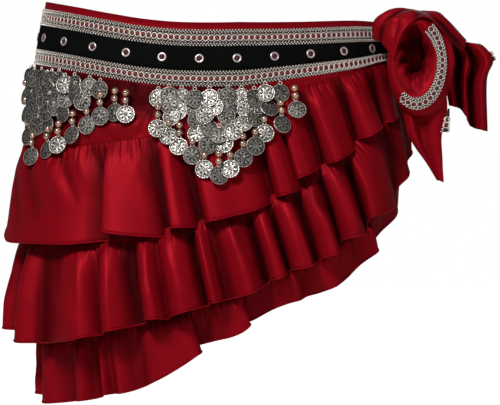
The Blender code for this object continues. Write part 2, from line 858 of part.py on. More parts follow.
def make_tie(finish):
    """Cloth over both ends of the band, round the right hip behind the knot."""
    rows = []
    for share in spaced(0.0, 1.0, TIE_ROWS):
        row = []
        for step in spaced(0.0, 1.0, TIE_COLUMNS):
            along = TIE_FROM - (TIE_FROM + ROUND - TIE_TO) * step
            height = band_line(along, "rim") * (1 - share) + band_line(along, "bottom") * share
            out = read_table(TIE_BULGE, step) + TIE_CROWN * math.sin(math.pi * share)
            row.append(base_point(along, height, out))
        rows.append(list(reversed(row)))
    add_wall("tie", rows, SATIN, finish)


def main():
    clear_scene()
    satin = material("red satin", (0.26, 0.004, 0.012), 0.42, 0.0)
    ribbon = material("black ribbon", (0.012, 0.012, 0.013), 0.75, 0.0)
    braid = material("silver braid", (0.62, 0.56, 0.50), 0.45, 0.6)
    silver = material("eyelet metal", (0.72, 0.66, 0.64), 0.3, 1.0)
    coin = material("coin metal", (0.45, 0.43, 0.40), 0.4, 1.0)
    columns = make_base(satin)
    make_band(columns, braid, ribbon)
    make_tiers(satin)
    make_eyelets(silver)
    for name, centre, clearance in FRINGE_CENTRES:
        make_fringe(f"coins_{name}", centre, clearance, coin)
    make_loop(satin, braid)
    make_wrap(satin)
    make_tail("tail_front", TAIL_FRONT_EDGES, TAIL_FRONT_FOLDS, TAIL_FRONT_COLUMNS, satin, True)
    make_tail("tail_side", TAIL_SIDE_EDGES, TAIL_SIDE_FOLDS, TAIL_SIDE_COLUMNS, satin)
    make_knot(satin)
    make_tie(satin)


main()
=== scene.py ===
# %% [markdown]
# # A belly dance hip scarf in Blender
#
# A hip scarf is a band of satin that is tied round the hips, with three gathered ruffles under it.
# Black ribbon with eyelets and two silver braids are sewn along the band, and coins hang below it.
# The solid model of the scarf is loaded first. Everything made here lies on it, in the same place,
# so a length here is a real length: 0.001 is one millimetre.

# %% Load the solid model
import json
import math

import bpy
import numpy as np
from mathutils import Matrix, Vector

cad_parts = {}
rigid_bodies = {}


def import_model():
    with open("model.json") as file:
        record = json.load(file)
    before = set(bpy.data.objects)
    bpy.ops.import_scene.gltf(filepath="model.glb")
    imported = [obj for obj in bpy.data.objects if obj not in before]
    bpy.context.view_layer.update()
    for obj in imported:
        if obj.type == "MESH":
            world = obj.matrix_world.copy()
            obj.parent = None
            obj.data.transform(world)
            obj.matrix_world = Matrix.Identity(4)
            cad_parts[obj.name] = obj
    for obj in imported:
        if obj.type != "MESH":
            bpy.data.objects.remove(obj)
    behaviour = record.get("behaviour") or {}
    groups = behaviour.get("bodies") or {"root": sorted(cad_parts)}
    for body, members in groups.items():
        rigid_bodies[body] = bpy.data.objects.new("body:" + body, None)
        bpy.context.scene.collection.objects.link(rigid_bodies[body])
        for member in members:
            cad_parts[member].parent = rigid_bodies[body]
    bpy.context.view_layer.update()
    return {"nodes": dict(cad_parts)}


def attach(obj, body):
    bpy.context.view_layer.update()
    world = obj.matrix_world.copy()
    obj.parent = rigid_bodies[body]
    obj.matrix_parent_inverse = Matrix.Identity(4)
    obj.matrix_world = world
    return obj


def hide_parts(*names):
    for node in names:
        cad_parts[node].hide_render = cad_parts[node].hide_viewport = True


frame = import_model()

MM = 0.001
print("solid model:", len(frame["nodes"]), "pieces")

# %% [markdown]
# ## Camera, floor and light
#
# The picture that this scarf was made from looks straight at its side, from level with its middle.
# A long lens from 2.5 m keeps the lines as flat as they are there. The floor is pale and plain, and
# large soft lamps give satin the broad highlights that make it look like satin.

# %% Camera
def new_object(name, data):
    """Puts new data into the scene as an object."""
    obj = bpy.data.objects.new(name, data)
    bpy.context.scene.collection.objects.link(obj)
    return obj


camera_data = bpy.data.cameras.new("camera")
camera_data.lens = 180.0
camera_data.sensor_width = 36.0
camera = new_object("camera", camera_data)
camera.location = (0.035, -2.5, -0.1465)
camera.rotation_euler = (math.radians(90), 0, 0)
bpy.context.scene.camera = camera
bpy.context.scene.view_settings.view_transform = "Standard"
print("camera at", tuple(round(v, 3) for v in camera.location))


# %% Small helpers for objects
def deselect():
    for other in bpy.context.view_layer.objects:
        other.select_set(False)


def activate(obj):
    deselect()
    obj.select_set(True)
    bpy.context.view_layer.objects.active = obj


def apply_modifier(obj, kind, **settings):
    """Adds one modifier and applies it, as the Modifiers tab does."""
    activate(obj)
    modifier = obj.modifiers.new(kind.title(), kind)
    for name, value in settings.items():
        setattr(modifier, name, value)
    bpy.ops.object.modifier_apply(modifier=modifier.name)


# %% Small helpers for nodes
def feed(tree, node, inputs):
    """Gives each named input a value, or a link from another node's output."""
    for name, value in inputs.items():
        if isinstance(value, bpy.types.NodeSocket):
            tree.links.new(value, node.inputs[name])
        else:
            node.inputs[name].default_value = value


def add_node(tree, kind, inputs=None, **settings):
    """A new node of this kind. Its settings come first, because they decide which inputs it has."""
    node = tree.nodes.new(kind)
    for name, value in settings.items():
        setattr(node, name, value)
    feed(tree, node, inputs or {})
    return node


def ranged(tree, value, low, high):
    """Spreads an output that goes from 0 to 1, so that it goes from low to high."""
    spread = add_node(tree, "ShaderNodeMapRange", {"Value": value, "To Min": low, "To Max": high})
    return spread.outputs["Result"]


def new_material(name):
    """A material, its node tree and its shader."""
    made = bpy.data.materials.new(name)
    made.use_nodes = True
    return made, made.node_tree, made.node_tree.nodes["Principled BSDF"]


# %% Floor, sky and lamps
WHITE = (1, 1, 1, 1)
SKY_LIGHT, SKY_SEEN = 0.12, 1.0
deselect()
bpy.ops.mesh.primitive_plane_add(size=24.0, location=(0, 0, -0.62))
floor = bpy.context.object
floor.name = "floor"
floor_paint, tree, shader = new_material("pale floor")
seen = add_node(tree, "ShaderNodeLightPath")
feed(tree, shader, {"Base Color": (0.86, 0.86, 0.86, 1), "Roughness": 0.9, "Emission Color": WHITE,
                    "Emission Strength": seen.outputs["Is Camera Ray"]})
floor.data.materials.append(floor_paint)

sky = bpy.data.worlds.new("pale room")
sky.use_nodes = True
tree = sky.node_tree
ray = add_node(tree, "ShaderNodeLightPath")
strength = add_node(tree, "ShaderNodeMix",
                    {"A": SKY_LIGHT, "B": SKY_SEEN, "Factor": ray.outputs["Is Camera Ray"]})
feed(tree, tree.nodes["Background"], {"Color": WHITE, "Strength": strength.outputs["Result"]})
bpy.context.scene.world = sky


def add_lamp(name, place, target, size, power):
    """A square soft lamp that faces a point."""
    data = bpy.data.lights.new(name, "AREA")
    data.shape = "SQUARE"
    data.size = size
    data.energy = power
    lamp = new_object(name, data)
    lamp.location = place
    lamp.rotation_euler = (Vector(target) - Vector(place)).to_track_quat("-Z", "Y").to_euler()


add_lamp("key", (-0.75, -1.8, 1.35), (0.0, 0.0, -0.15), 0.5, 46)
add_lamp("fill", (1.9, -1.5, 0.3), (0.05, 0.0, -0.15), 0.9, 5)
add_lamp("back", (0.5, 1.9, 0.7), (0.0, 0.0, -0.15), 1.0, 4)
print("three lamps and a white sky")

# %% [markdown]
# ## The lines of the scarf
#
# A maker draws the scarf flat first: how deep the band is, where the yoke ends and how low each
# ruffle hangs. The same lines are given here as short tables by distance round the hips, in
# millimetres, and a smooth curve is read through each table's rows.

# %% Tables of the lines
# The oval of the hips, then how far from the band's middle its rim, the upper braid's top, the
# ribbon's two edges and the band's lower edge are.
HALF_WIDTH, HALF_DEPTH = 173.0, 112.0
RIM, STRIP, RIBBON, BAND = 35.0, 28.0, 11.8, 27.0
BACK_DIP = 4.0
BAND_LEVEL = (
    # angle from the left hip, height of the band's middle
    (0, 19.0), (13, 17.0), (27, 13.0), (40, 8.0), (55, 0.7), (67, -5.0), (80, -8.6),
    (98, -8.6), (118, -4.6), (139, 0.8), (156, 5.0), (180, 8.0),
)
NARROWING = (
    # mm from the knot, above the ribbon, ribbon and below
    (0, 0.68, 0.42), (49, 0.74, 0.50), (82, 0.83, 0.65), (150, 0.92, 0.84), (200, 1.0, 1.0),
)
DEPTHS = (
    # mm round from the centre, yoke, first hem, second hem
    (0, 87.0, 174.0, 268.0), (50, 72.0, 167.0, 260.0), (100, 57.0, 152.0, 239.0), (150, 44.0, 138.0, 220.0),
    (200, 28.0, 124.0, 202.0), (250, 14.0, 107.0, 184.0), (300, 6.0, 83.0, 168.0), (340, 3.5, 64.0, 148.0),
    (380, 3.0, 52.0, 108.0), (410, 3.0, 44.0, 84.0),
)
YOKE, HEM_1, HEM_2 = 1, 2, 3
# By mm below the band, how far out from the hip line the base is. Then by mm round, how far the
# ruffles' folds shift to the centre for each mm that they rise.
STAND_OUT = ((-62, -4.0), (0, 6.0), (86, 14.0), (170, 12.0), (265, -2.0), (330, -4.0))
FOLD_LEAN = ((0, 0.0), (60, 0.06), (150, 0.18), (260, 0.25), (410, 0.22))
print("tables for", len(DEPTHS), "places round the hips")


# %% Read a table and walk round the hips
def table_value(table, at, column=1):
    """A table's value at any places, on a smooth curve through its rows and level past its ends."""
    x = np.array([row[0] for row in table], float)
    y = np.array([row[column] for row in table], float)
    low, high = np.maximum(np.arange(len(x)) - 1, 0), np.minimum(np.arange(len(x)) + 1, len(x) - 1)
    slope = (y[high] - y[low]) / (x[high] - x[low])
    at = np.clip(np.asarray(at, float), x[0], x[-1])
    i = np.clip(np.searchsorted(x, at, side="right") - 1, 0, len(x) - 2)
    width = x[i + 1] - x[i]
    t = (at - x[i]) / width
    return (
        y[i] * (2 * t**3 - 3 * t**2 + 1)
        + slope[i] * width * (t**3 - 2 * t**2 + t)
        + y[i + 1] * (3 * t**2 - 2 * t**3)
        + slope[i + 1] * width * (t**3 - t**2)
    )


# Distances round the hips are counted from step 84 of 1440, which is 21 degrees from the left hip.
STEPS_ROUND, CENTRE_STEP = 1440, 84
ANGLES = np.linspace(0, 2 * np.pi, STEPS_ROUND + 1)
middle_angles = (ANGLES[1:] + ANGLES[:-1]) / 2
speeds = np.hypot(HALF_WIDTH * np.sin(middle_angles), HALF_DEPTH * np.cos(middle_angles))
ARC = np.concatenate([[0], np.cumsum(speeds * (ANGLES[1] - ANGLES[0]))])
ROUND = ARC[-1]
CENTRE_ARC = ARC[CENTRE_STEP]
KNOT_FRONT, KNOT_BACK = ROUND / 2 - CENTRE_ARC, -ROUND / 2 - CENTRE_ARC


def angle_at(along):
    return np.interp((np.asarray(along, float) + CENTRE_ARC) % ROUND, ARC, ANGLES)


def outward(along):
    angle = angle_at(along)
    ray = np.stack([-np.cos(angle) / HALF_WIDTH, -np.sin(angle) / HALF_DEPTH, 0 * angle], -1)
    return ray / np.linalg.norm(ray, axis=-1, keepdims=True)


def on_hips(along, out, height):
    """Points this far round, out from the hip line and up, in millimetres."""
    along, out, height = np.broadcast_arrays(along, out, height)
    angle = angle_at(along)
    place = np.stack([-HALF_WIDTH * np.cos(angle), -HALF_DEPTH * np.sin(angle), height], -1)
    return place + outward(along) * out[..., None]


print(f"the hips are {ROUND:.0f} mm round")


# %% Heights of the band, the yoke and the hems
def band_line(along, name):
    along = np.asarray(along, float)
    angle = np.degrees(angle_at(along))
    dip = BACK_DIP * np.maximum(0.0, -np.sin(np.radians(angle)))
    level = table_value(BAND_LEVEL, np.minimum(angle, 360 - angle)) - dip
    knot = np.maximum(np.where(along > 0, KNOT_FRONT - along, along - KNOT_BACK), 0)
    upper, lower = table_value(NARROWING, knot, 1), table_value(NARROWING, knot, 2)
    offset = {"rim": RIM * upper, "strip": STRIP * upper, "top": RIBBON * lower, "middle": 0 * lower,
              "low": -RIBBON * lower, "bottom": -BAND * lower}[name]
    return level + offset


def depth_line(along, column):
    return band_line(along, "bottom") - table_value(DEPTHS, np.abs(along), column)


def stand_out(along, height):
    return table_value(STAND_OUT, band_line(along, "bottom") - height)


def on_base(along, height, out=0.0):
    """Points on the satin base, or this far out from it."""
    return on_hips(along, stand_out(along, height) + out, height)


print(f"yoke at the front: {float(table_value(DEPTHS, 0, YOKE)):.0f} mm deep")

# %% [markdown]
# ## Satin, and a weave that every cloth here shares
#
# Satin is red all over, but its threads run one way, so it is never one flat red: it darkens where
# it turns away and its highlight is broad and soft. A node group makes the thread pattern from the
# cloth's own UV map in metres. It is built once, and each cloth uses it with its own thread size.

# %% The weave group
weave = bpy.data.node_groups.new("weave", "ShaderNodeTree")
for name, value in (("Threads per metre", 3000.0), ("Unevenness", 0.5)):
    socket = weave.interface.new_socket(name, in_out="INPUT", socket_type="NodeSocketFloat")
    socket.default_value = value
for name in ("Threads", "Cloudiness"):
    weave.interface.new_socket(name, in_out="OUTPUT", socket_type="NodeSocketFloat")
entry = add_node(weave, "NodeGroupInput")
place = add_node(weave, "ShaderNodeUVMap", uv_map="cloth")
scaled = add_node(weave, "ShaderNodeVectorMath",
                  {0: place.outputs["UV"], "Scale": entry.outputs["Threads per metre"]}, operation="SCALE")
stretched = add_node(weave, "ShaderNodeMapping", {"Vector": scaled.outputs[0], "Scale": (1.0, 0.16, 1.0)})
threads = add_node(weave, "ShaderNodeTexNoise",
                   {"Vector": stretched.outputs[0], "Scale": 1.0, "Detail": 2.0})
clouds = add_node(weave, "ShaderNodeTexNoise", {"Vector": place.outputs["UV"], "Scale": 38.0, "Detail": 3.0,
                                                "Roughness": entry.outputs["Unevenness"]})
add_node(weave, "NodeGroupOutput", {"Threads": threads.outputs["Fac"], "Cloudiness": clouds.outputs["Fac"]})
print("node group", weave.name)


# %% Cloth materials
# Share of the colour that is kept where the painted fold shade is darkest.
COLOUR_KEPT_IN_PAINTED_SHADE = 0.16


def cloth_material(name, dark, light, roughness, threads_per_metre, bump, specular, metallic=0.0):
    """A point attribute of the cloth paints shade into its colour: where it is 1, deep in a fold, the colour
    is darkest.
    """
    made, tree, shader = new_material(name)
    group = add_node(tree, "ShaderNodeGroup", {"Threads per metre": threads_per_metre}, node_tree=weave)
    threads = group.outputs["Threads"]
    cloudy = {"A": (*dark, 1), "B": (*light, 1), "Factor": group.outputs["Cloudiness"]}
    mix = add_node(tree, "ShaderNodeMix", cloudy, data_type="RGBA")
    painted_fold_shade = add_node(tree, "ShaderNodeAttribute", attribute_name="painted_fold_shade")
    kept = ranged(tree, painted_fold_shade.outputs["Fac"], 1.0, COLOUR_KEPT_IN_PAINTED_SHADE)
    colour_with_painted_shade = add_node(tree, "ShaderNodeVectorMath", {0: mix.outputs["Result"], "Scale": kept},
                        operation="SCALE")
    raised = add_node(tree, "ShaderNodeBump", {"Strength": bump, "Distance": 0.0002, "Height": threads})
    feed(tree, shader, {"Base Color": colour_with_painted_shade.outputs[0], "Normal": raised.outputs["Normal"],
                        "Roughness": ranged(tree, threads, roughness - 0.05, roughness + 0.07),
                        "Metallic": metallic, "Specular IOR Level": specular})
    return made


satin = cloth_material("red satin", (0.24, 0.0022, 0.008), (0.32, 0.0033, 0.0105),
                       roughness=0.52, threads_per_metre=2600.0, bump=0.25, specular=0.05, metallic=0.38)
black_ribbon = cloth_material("black ribbon", (0.0015, 0.0018, 0.0015), (0.0034, 0.0040, 0.0034),
                              roughness=0.85, threads_per_metre=900.0, bump=0.6, specular=0.04)
print("cloths:", satin.name, "and", black_ribbon.name)

# %% [markdown]
# ## Cloth sheets
#
# Cloth is a thin sheet, so each piece starts as a grid of points in mesh code: rows run down the
# cloth and columns run along it. Each point also gets its place on the flat cloth as a UV, which
# keeps the threads running down every fold. A Solidify modifier then gives the sheet its thickness.

# %% Make a sheet from a grid
SINGLE_CLOTH, DOUBLE_CLOTH = 1.0, 1.2


def sheet_object(name, points, finish, wall, painted_fold_shade=None):
    """points has rows, columns and three numbers in millimetres, with the outside in front."""
    rows, columns = points.shape[:2]
    at = np.arange(rows * columns).reshape(rows, columns)
    faces = np.stack([at[:-1, :-1], at[1:, :-1], at[1:, 1:], at[:-1, 1:]], -1).reshape(-1, 4)
    mesh = bpy.data.meshes.new(name)
    mesh.from_pydata((points.reshape(-1, 3) * MM).tolist(), [], faces.tolist())
    wide = np.linalg.norm(np.diff(points, axis=1), axis=-1).mean(0)
    tall = np.linalg.norm(np.diff(points, axis=0), axis=-1).mean(1)
    u = np.concatenate([[0], np.cumsum(wide)]) * MM
    v = -np.concatenate([[0], np.cumsum(tall)]) * MM
    flat = np.stack(np.broadcast_arrays(u[None, :], v[:, None]), -1).reshape(-1, 2)
    layer = mesh.uv_layers.new(name="cloth")
    layer.data.foreach_set("uv", flat[faces.reshape(-1)].reshape(-1))
    mesh.materials.append(finish)
    # The attribute holds the painted shade, from 0 for none to 1 for the darkest.
    if painted_fold_shade is not None:
        kept = mesh.attributes.new(name="painted_fold_shade", type="FLOAT", domain="POINT")
        painted_shade_values = np.broadcast_to(painted_fold_shade, (rows, columns)).astype(np.float32)
        kept.data.foreach_set("value", painted_shade_values.reshape(-1))
    obj = new_object(name, mesh)
    apply_modifier(obj, "SOLIDIFY", thickness=wall * MM, offset=-1.0, use_rim=True)
    activate(obj)
    bpy.ops.object.shade_smooth()
    obj["flat_mm"] = (float(u[-1] / MM), float(-v[-1] / MM))
    return obj


def soft_noise(along, down, scale_along, scale_down, seed):
    """Smooth, repeatable unevenness between about -1 and 1."""
    total = 0
    for k in range(4):
        phase = seed * 1.7 + k * 2.3
        turn = 0.5 + 0.37 * k
        total = total + np.sin(along / scale_along * (1 + 0.63 * k) + phase + 1.3 * np.sin(
            down / scale_down * turn + phase * 1.9)) * (0.62**k)
    return total / 2.1


def crease_field(u, v, creases):
    """Height in mm at each place. A crease has u and v at both ends, its half width and its height."""
    total = np.zeros(np.broadcast(u, v).shape)
    for u0, v0, u1, v1, half_width, height in creases:
        du, dv = u1 - u0, v1 - v0
        t = np.clip(((u - u0) * du + (v - v0) * dv) / (du * du + dv * dv), 0, 1)
        near = np.hypot(u - u0 - du * t, v - v0 - dv * t) / half_width
        faded = 0.35 + 0.65 * np.sin(np.pi * np.clip(t, 0.02, 0.98)) ** 0.5
        total = total + height * np.exp(-(near**2)) * faded
    return total


print("sheet and crease helpers ready")

# %% [markdown]
# ## The satin base
#
# The base is the plain satin that everything is sewn to. Its top edge shows as a narrow red strip
# over the upper braid, and its yoke shows between the lower braid and the first ruffle. There it is
# not smooth: the gathers push up a soft roll, and the coins' stitches drag small wrinkles into it.

# %% Base
BASE_FRONT_END, BASE_BACK_END = 394.0, -482.0
BAND_ROWS, YOKE_ROWS, HIDDEN_ROWS = 6, 32, 12
# Painted shade on the band, and on the part of the base hidden under the ruffles.
BAND_PAINTED_SHADE, HIDDEN_PAINTED_SHADE = 0.20, 0.6
FOOT_RISES_FROM, FOOT_RISE = 400.0, 34.0
base_s = np.linspace(BASE_BACK_END, BASE_FRONT_END, 500)
base_rows = []
base_painted_shade = []


def base_foot(along):
    """The lower edge of the base: over the lowest ruffle's seam, and up to the band near the knot."""
    past = np.clip((np.abs(along) - FOOT_RISES_FROM) / FOOT_RISE, 0, 1)
    bottom = band_line(along, "bottom")
    return bottom + (depth_line(along, HEM_2) + 1.0 - bottom) * (1 - past * 0.97)


def yoke_creases(along, above, share):
    """Mm out in all, and mm out of the wrinkles alone. A soft roll lies above the seam with a dip
    over it, the coins' stitches drag wrinkles, and small creases go everywhere."""
    roll = 4.2 * np.exp(-(((above - 13) / 7.5) ** 2)) * (0.75 + 0.35 * soft_noise(along, above, 17, 30, 2))
    dip = -1.4 * np.exp(-(((above - 27) / 6) ** 2))
    drag = 1.5 * soft_noise(along + above * 0.8, above, 9.0, 14, 5) * np.exp(-above / 26)
    small = 1.3 * soft_noise(along - above * 0.3, above, 3.4, 12, 9) * (np.sin(np.pi * share) ** 0.5)
    return roll + dip + drag + small, drag + small


yoke_height = depth_line(base_s, YOKE)
bottom_height = band_line(base_s, "bottom")
for share in np.linspace(0, 1, BAND_ROWS):
    height = band_line(base_s, "rim") * (1 - share) + bottom_height * share
    base_rows.append((base_s, height, 0 * base_s))
    base_painted_shade.append(np.full(len(base_s), BAND_PAINTED_SHADE))
for share in np.linspace(0, 1, YOKE_ROWS)[1:]:
    height = bottom_height + (yoke_height - bottom_height) * share
    depth = bottom_height - yoke_height
    above = (1 - share) * depth
    room = np.clip(depth / 25.0, 0, 1)
    out, wrinkles = yoke_creases(base_s, above, share)
    base_rows.append((base_s, height, np.maximum(out * room, -0.8)))
    # Painted shade: the yoke is darker higher up, under the coins and the braid, than on the roll by the
    # seam, and darker still in the hollows of its wrinkles.
    wrinkle_painted_shade = np.clip(0.5 - 0.32 * wrinkles, 0, 1) * np.clip(1.25 * (above - 14) / 30, 0, 1)
    base_painted_shade.append(np.clip(np.interp(above, (9, 20), (0.15, 0.64)) + 0.7 * wrinkle_painted_shade, 0, 1))
lowest = base_foot(base_s)
for share in np.linspace(0, 1, HIDDEN_ROWS)[1:]:
    height = yoke_height + (lowest - yoke_height) * share
    base_rows.append((base_s, height, 0 * base_s))
    base_painted_shade.append(np.full(len(base_s), HIDDEN_PAINTED_SHADE))
base_points = np.stack([on_base(s, height, out) for s, height, out in base_rows])
base = sheet_object("satin_base", base_points, satin, DOUBLE_CLOTH, np.stack(base_painted_shade))
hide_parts("base_front", "base_back")
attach(base, "root")
print("base:", len(base.data.polygons), "faces")

# %% [markdown]
# ## Three gathered ruffles
#
# Each ruffle is a long straight strip, gathered to about half its length and sewn along a line. The
# gathers start as many small puckers under the seam and run together into a few broad panels at the
# hem. Between two panels the cloth doubles back, so one panel lies over the edge of the next and a
# dark fold shows between them, darkened further by shade painted into the colour. A table follows
# each hem as it goes round: the distance round may run back, which is how a fold lies over its
# neighbour. Towards the seam the line is smoothed out.

# %% Tables of the ruffles
TIER_SHAPES = {
    # share of the drop, mm out in a fold, mm out on a panel
    1: ((0.0, 1.5, 2.2), (0.22, 2.0, 12.0), (0.60, 2.2, 20.0), (1.0, 3.0, 27.0)),
    2: ((0.0, 1.5, 2.2), (0.22, 3.0, 16.0), (0.62, 5.0, 26.0), (1.0, 6.0, 28.5)),
    3: ((0.0, 1.5, 2.2), (0.22, 1.2, 11.0), (0.62, -2.5, 12.0), (1.0, -6.0, 11.5)),
}
HEMS = {
    # mm round, share of the way out, mm below the band
    1: ((-42, 0.87, 164), (-31, 0.93, 171), (-15, 0.95, 175), (22, 0.90, 171), (53, 0.90, 166),
        (70, 0.80, 161.5), (83, 0.55, 157.5), (95, 0.30, 154.5), (107, 0.15, 151.5), (101, 0.35, 149),
        (91, 0.75, 147), (90, 0.97, 146.5), (98, 1.0, 146.7), (120, 0.85, 146), (139, 0.60, 144.9),
        (147, 0.15, 141), (147, 0.55, 138), (150, 0.97, 135.5), (158, 1.0, 134.6), (169, 0.65, 134.1),
        (177, 0.15, 132), (177, 0.60, 130), (181, 0.97, 128.6), (190, 1.0, 126.5), (206, 0.92, 122.6),
        (224, 0.85, 118.9), (237, 0.50, 114.7), (244, 0.10, 113), (240, 0.55, 111), (242, 0.97, 109.6),
        (250, 1.0, 108.3), (262, 0.70, 106.3), (268, 0.30, 105), (261, 0.50, 99), (257, 0.95, 95.5),
        (266, 1.0, 93), (280, 0.65, 89), (287, 0.20, 87), (287, 0.70, 86), (291, 1.0, 84.3),
        (300, 0.95, 80.7), (315, 0.70, 76.8), (323, 0.20, 73), (320, 0.65, 68), (323, 0.97, 65.9),
        (331, 1.0, 62.3), (346, 0.70, 59.9), (353, 0.30, 59.4), (359, 0.75, 58.3), (374, 0.60, 53.5),
        (386, 0.25, 50), (395, 0.50, 47.5), (408, 0.35, 45)),
    2: ((-42, 0.50, 255), (-28, 0.97, 262.5), (-19, 0.30, 264), (-7, 0.80, 268), (4, 1.0, 270.3),
        (16, 0.75, 268.7), (20, 0.45, 268.2), (32, 0.55, 265.5), (46, 0.75, 261), (62, 1.0, 256),
        (77, 0.92, 249), (86, 0.45, 246), (87, 0.55, 244), (91, 0.90, 242), (99, 1.0, 238.5),
        (111, 0.60, 233.5), (124, 0.05, 228.5), (124, 0.50, 225.5), (129, 0.92, 223.4), (137, 1.0, 222),
        (146, 0.50, 221.8), (147, 0.60, 219.8), (153, 0.90, 217), (162, 1.0, 213.5), (173, 0.70, 210),
        (182, 0.05, 207.5), (180, 0.55, 206), (185, 0.97, 205), (192, 0.75, 203.7), (197, 0.40, 202.8),
        (207, 0.80, 200), (216, 1.0, 197), (226, 0.65, 193.5), (235, 0.05, 190.3), (233, 0.55, 188.5),
        (238, 0.92, 187.3), (245, 0.85, 184.8), (253, 0.10, 183), (252, 0.60, 181.8), (258, 0.95, 180.8),
        (266, 1.0, 179.6), (278, 0.20, 178.4), (278, 0.65, 175.5), (287, 1.0, 171.9), (297, 0.55, 169.5),
        (304, 0.05, 166.5), (298, 0.55, 161.5), (302, 0.92, 159.5), (309, 1.0, 158), (320, 0.65, 158),
        (330, 0.15, 157), (325, 0.55, 149), (321, 0.95, 142.8), (330, 1.0, 141.5), (351, 0.80, 139.4),
        (364, 0.40, 127.5), (374, 0.70, 115), (388, 0.45, 101), (398, 0.60, 93), (408, 0.40, 85)),
    3: ((-42, 0.50, 322), (-21, 0.92, 326), (-14, 0.30, 327.5), (-5, 0.85, 330), (6, 1.0, 330.3),
        (20, 0.75, 327), (34, 0.20, 322.8), (48, 0.85, 318.8), (56, 1.0, 316.6), (68, 0.25, 311.5),
        (79, 0.90, 306), (86, 0.40, 303.6), (95, 0.85, 301.2), (104, 0.55, 297.5), (114, 0.05, 292.5),
        (126, 0.70, 286), (140, 0.95, 277.5), (158, 1.0, 265), (170, 0.97, 255.8), (174, 0.70, 252.5),
        (167, 0.25, 249.5), (165, 0.0, 248), (174, 0.02, 245.5), (187, 0.40, 242), (200, 0.85, 238.5),
        (211, 1.0, 233.5), (218, 0.85, 228), (214, 0.40, 226.5), (213, 0.05, 226.5), (222, 0.0, 224.5),
        (238, 0.30, 218), (252, 0.85, 213.3), (262, 0.95, 211.8), (273, 0.45, 210.2), (282, 0.65, 208.7),
        (294, 0.90, 205.4), (306, 0.80, 200.4), (325, 0.60, 190), (339, 0.97, 180), (343, 0.60, 176.5),
        (340, 0.25, 176.5), (352, 0.25, 168.5), (374, 0.60, 154), (392, 0.30, 139), (408, 0.40, 125)),
}
RUFFLE_CREASES = {
    # mm round and down at both ends, half width, height
    1: ((-32, 14, 2, 72, 7, -2.6), (-8, 7, 22, 62, 8, -3.0), (20, 5, 46, 46, 6, 2.6),
        (38, 4, 60, 52, 5, -2.8), (58, 3, 72, 42, 5, 2.2), (70, 2, 84, 34, 4, -2.2),
        (112, 2, 130, 52, 5, -2.0), (160, 3, 172, 42, 4, 1.6), (205, 3, 228, 52, 5, -2.2),
        (300, 2, 312, 32, 4, -1.6), (-120, 3, -134, 48, 6, -2.4), (-190, 4, -176, 40, 5, 2.0)),
    2: ((-30, 4, -24, 60, 6, -2.6), (2, 6, 10, 64, 7, 2.2), (36, 5, 42, 48, 5, -2.4),
        (60, 4, 72, 60, 5, 2.0), (98, 6, 112, 56, 5, -2.2), (136, 5, 150, 44, 4, 1.8),
        (200, 4, 212, 44, 5, -2.0), (262, 5, 280, 46, 5, -2.0), (-110, 5, -122, 60, 6, -2.4),
        (-220, 5, -210, 46, 5, 2.0)),
    3: ((-30, 4, -24, 44, 6, -2.2), (14, 5, 24, 50, 6, -2.4), (62, 4, 70, 40, 5, -2.0),
        (120, 5, 132, 40, 6, 2.0), (146, 4, 150, 30, 5, -1.8), (190, 4, 204, 26, 5, -1.6),
        (236, 4, 252, 26, 5, 1.8), (-130, 5, -140, 40, 6, -2.0)),
}
MIRRORED_FROM = 58
TIER_OVERLAP = 5.0
# How strongly painted shade darkens each ruffle's folds; the lowest ruffle gets less.
FOLD_PAINTED_SHADE = {1: 1.0, 2: 1.0, 3: 0.45}
for number, rows in HEMS.items():
    mirrored = tuple((-s, out, drop) for s, out, drop in rows[::-1] if s >= MIRRORED_FROM)
    HEMS[number] = mirrored + rows
print("places along the hems:", {number: len(rows) for number, rows in HEMS.items()})


# %% Follow a hem
def smoothed(values, width):
    """Each value becomes the mean of those near it, with the ends held."""
    reach = int(3 * width)
    kernel = np.exp(-0.5 * (np.arange(-reach, reach + 1) / width) ** 2)
    before = 2 * values[0] - values[reach:0:-1]
    after = 2 * values[-1] - values[-2:-reach - 2:-1]
    return np.convolve(np.concatenate([before, values, after]), kernel / kernel.sum(), mode="valid")


def hem_path(number, step):
    """Columns along the hem: mm round, share of the way out, mm below the band."""
    rows = np.array(HEMS[number], float)
    reach = TIER_SHAPES[number][-1][2] - TIER_SHAPES[number][-1][1]
    # A step along the hem counts the way round and the way out in full, and part of the drop.
    gone = np.linalg.norm(np.diff(rows * (1.0, reach, 0.6), axis=0), axis=1)
    gone = np.concatenate([[0], np.cumsum(gone)])
    table = [(g, *row) for g, row in zip(gone, rows)]
    at = np.arange(0, gone[-1], step)
    round_hem, out, below_band = (table_value(table, at, column) for column in (1, 2, 3))
    return round_hem, np.clip(out, 0, 1) ** 2, below_band


# %% Make a ruffle
CLEAR_OF_BASE = 1.7
HEM_STEP = 1.65
SEAM_SMOOTHING, PANEL_SMOOTHING = 17, 4
TIER_END, END_EASE = 408.0, 60
PUCKER_DEPTH, CRUMPLE_DEPTH, GATHER_SHADE = 13.0, 46.0, 15.0
# Rows are closer together in the gathers under the seam.
ROW_SHARES = np.concatenate([np.linspace(0, 0.2, 12), np.linspace(0.2, 1.0, 19)[1:]])[:, None]


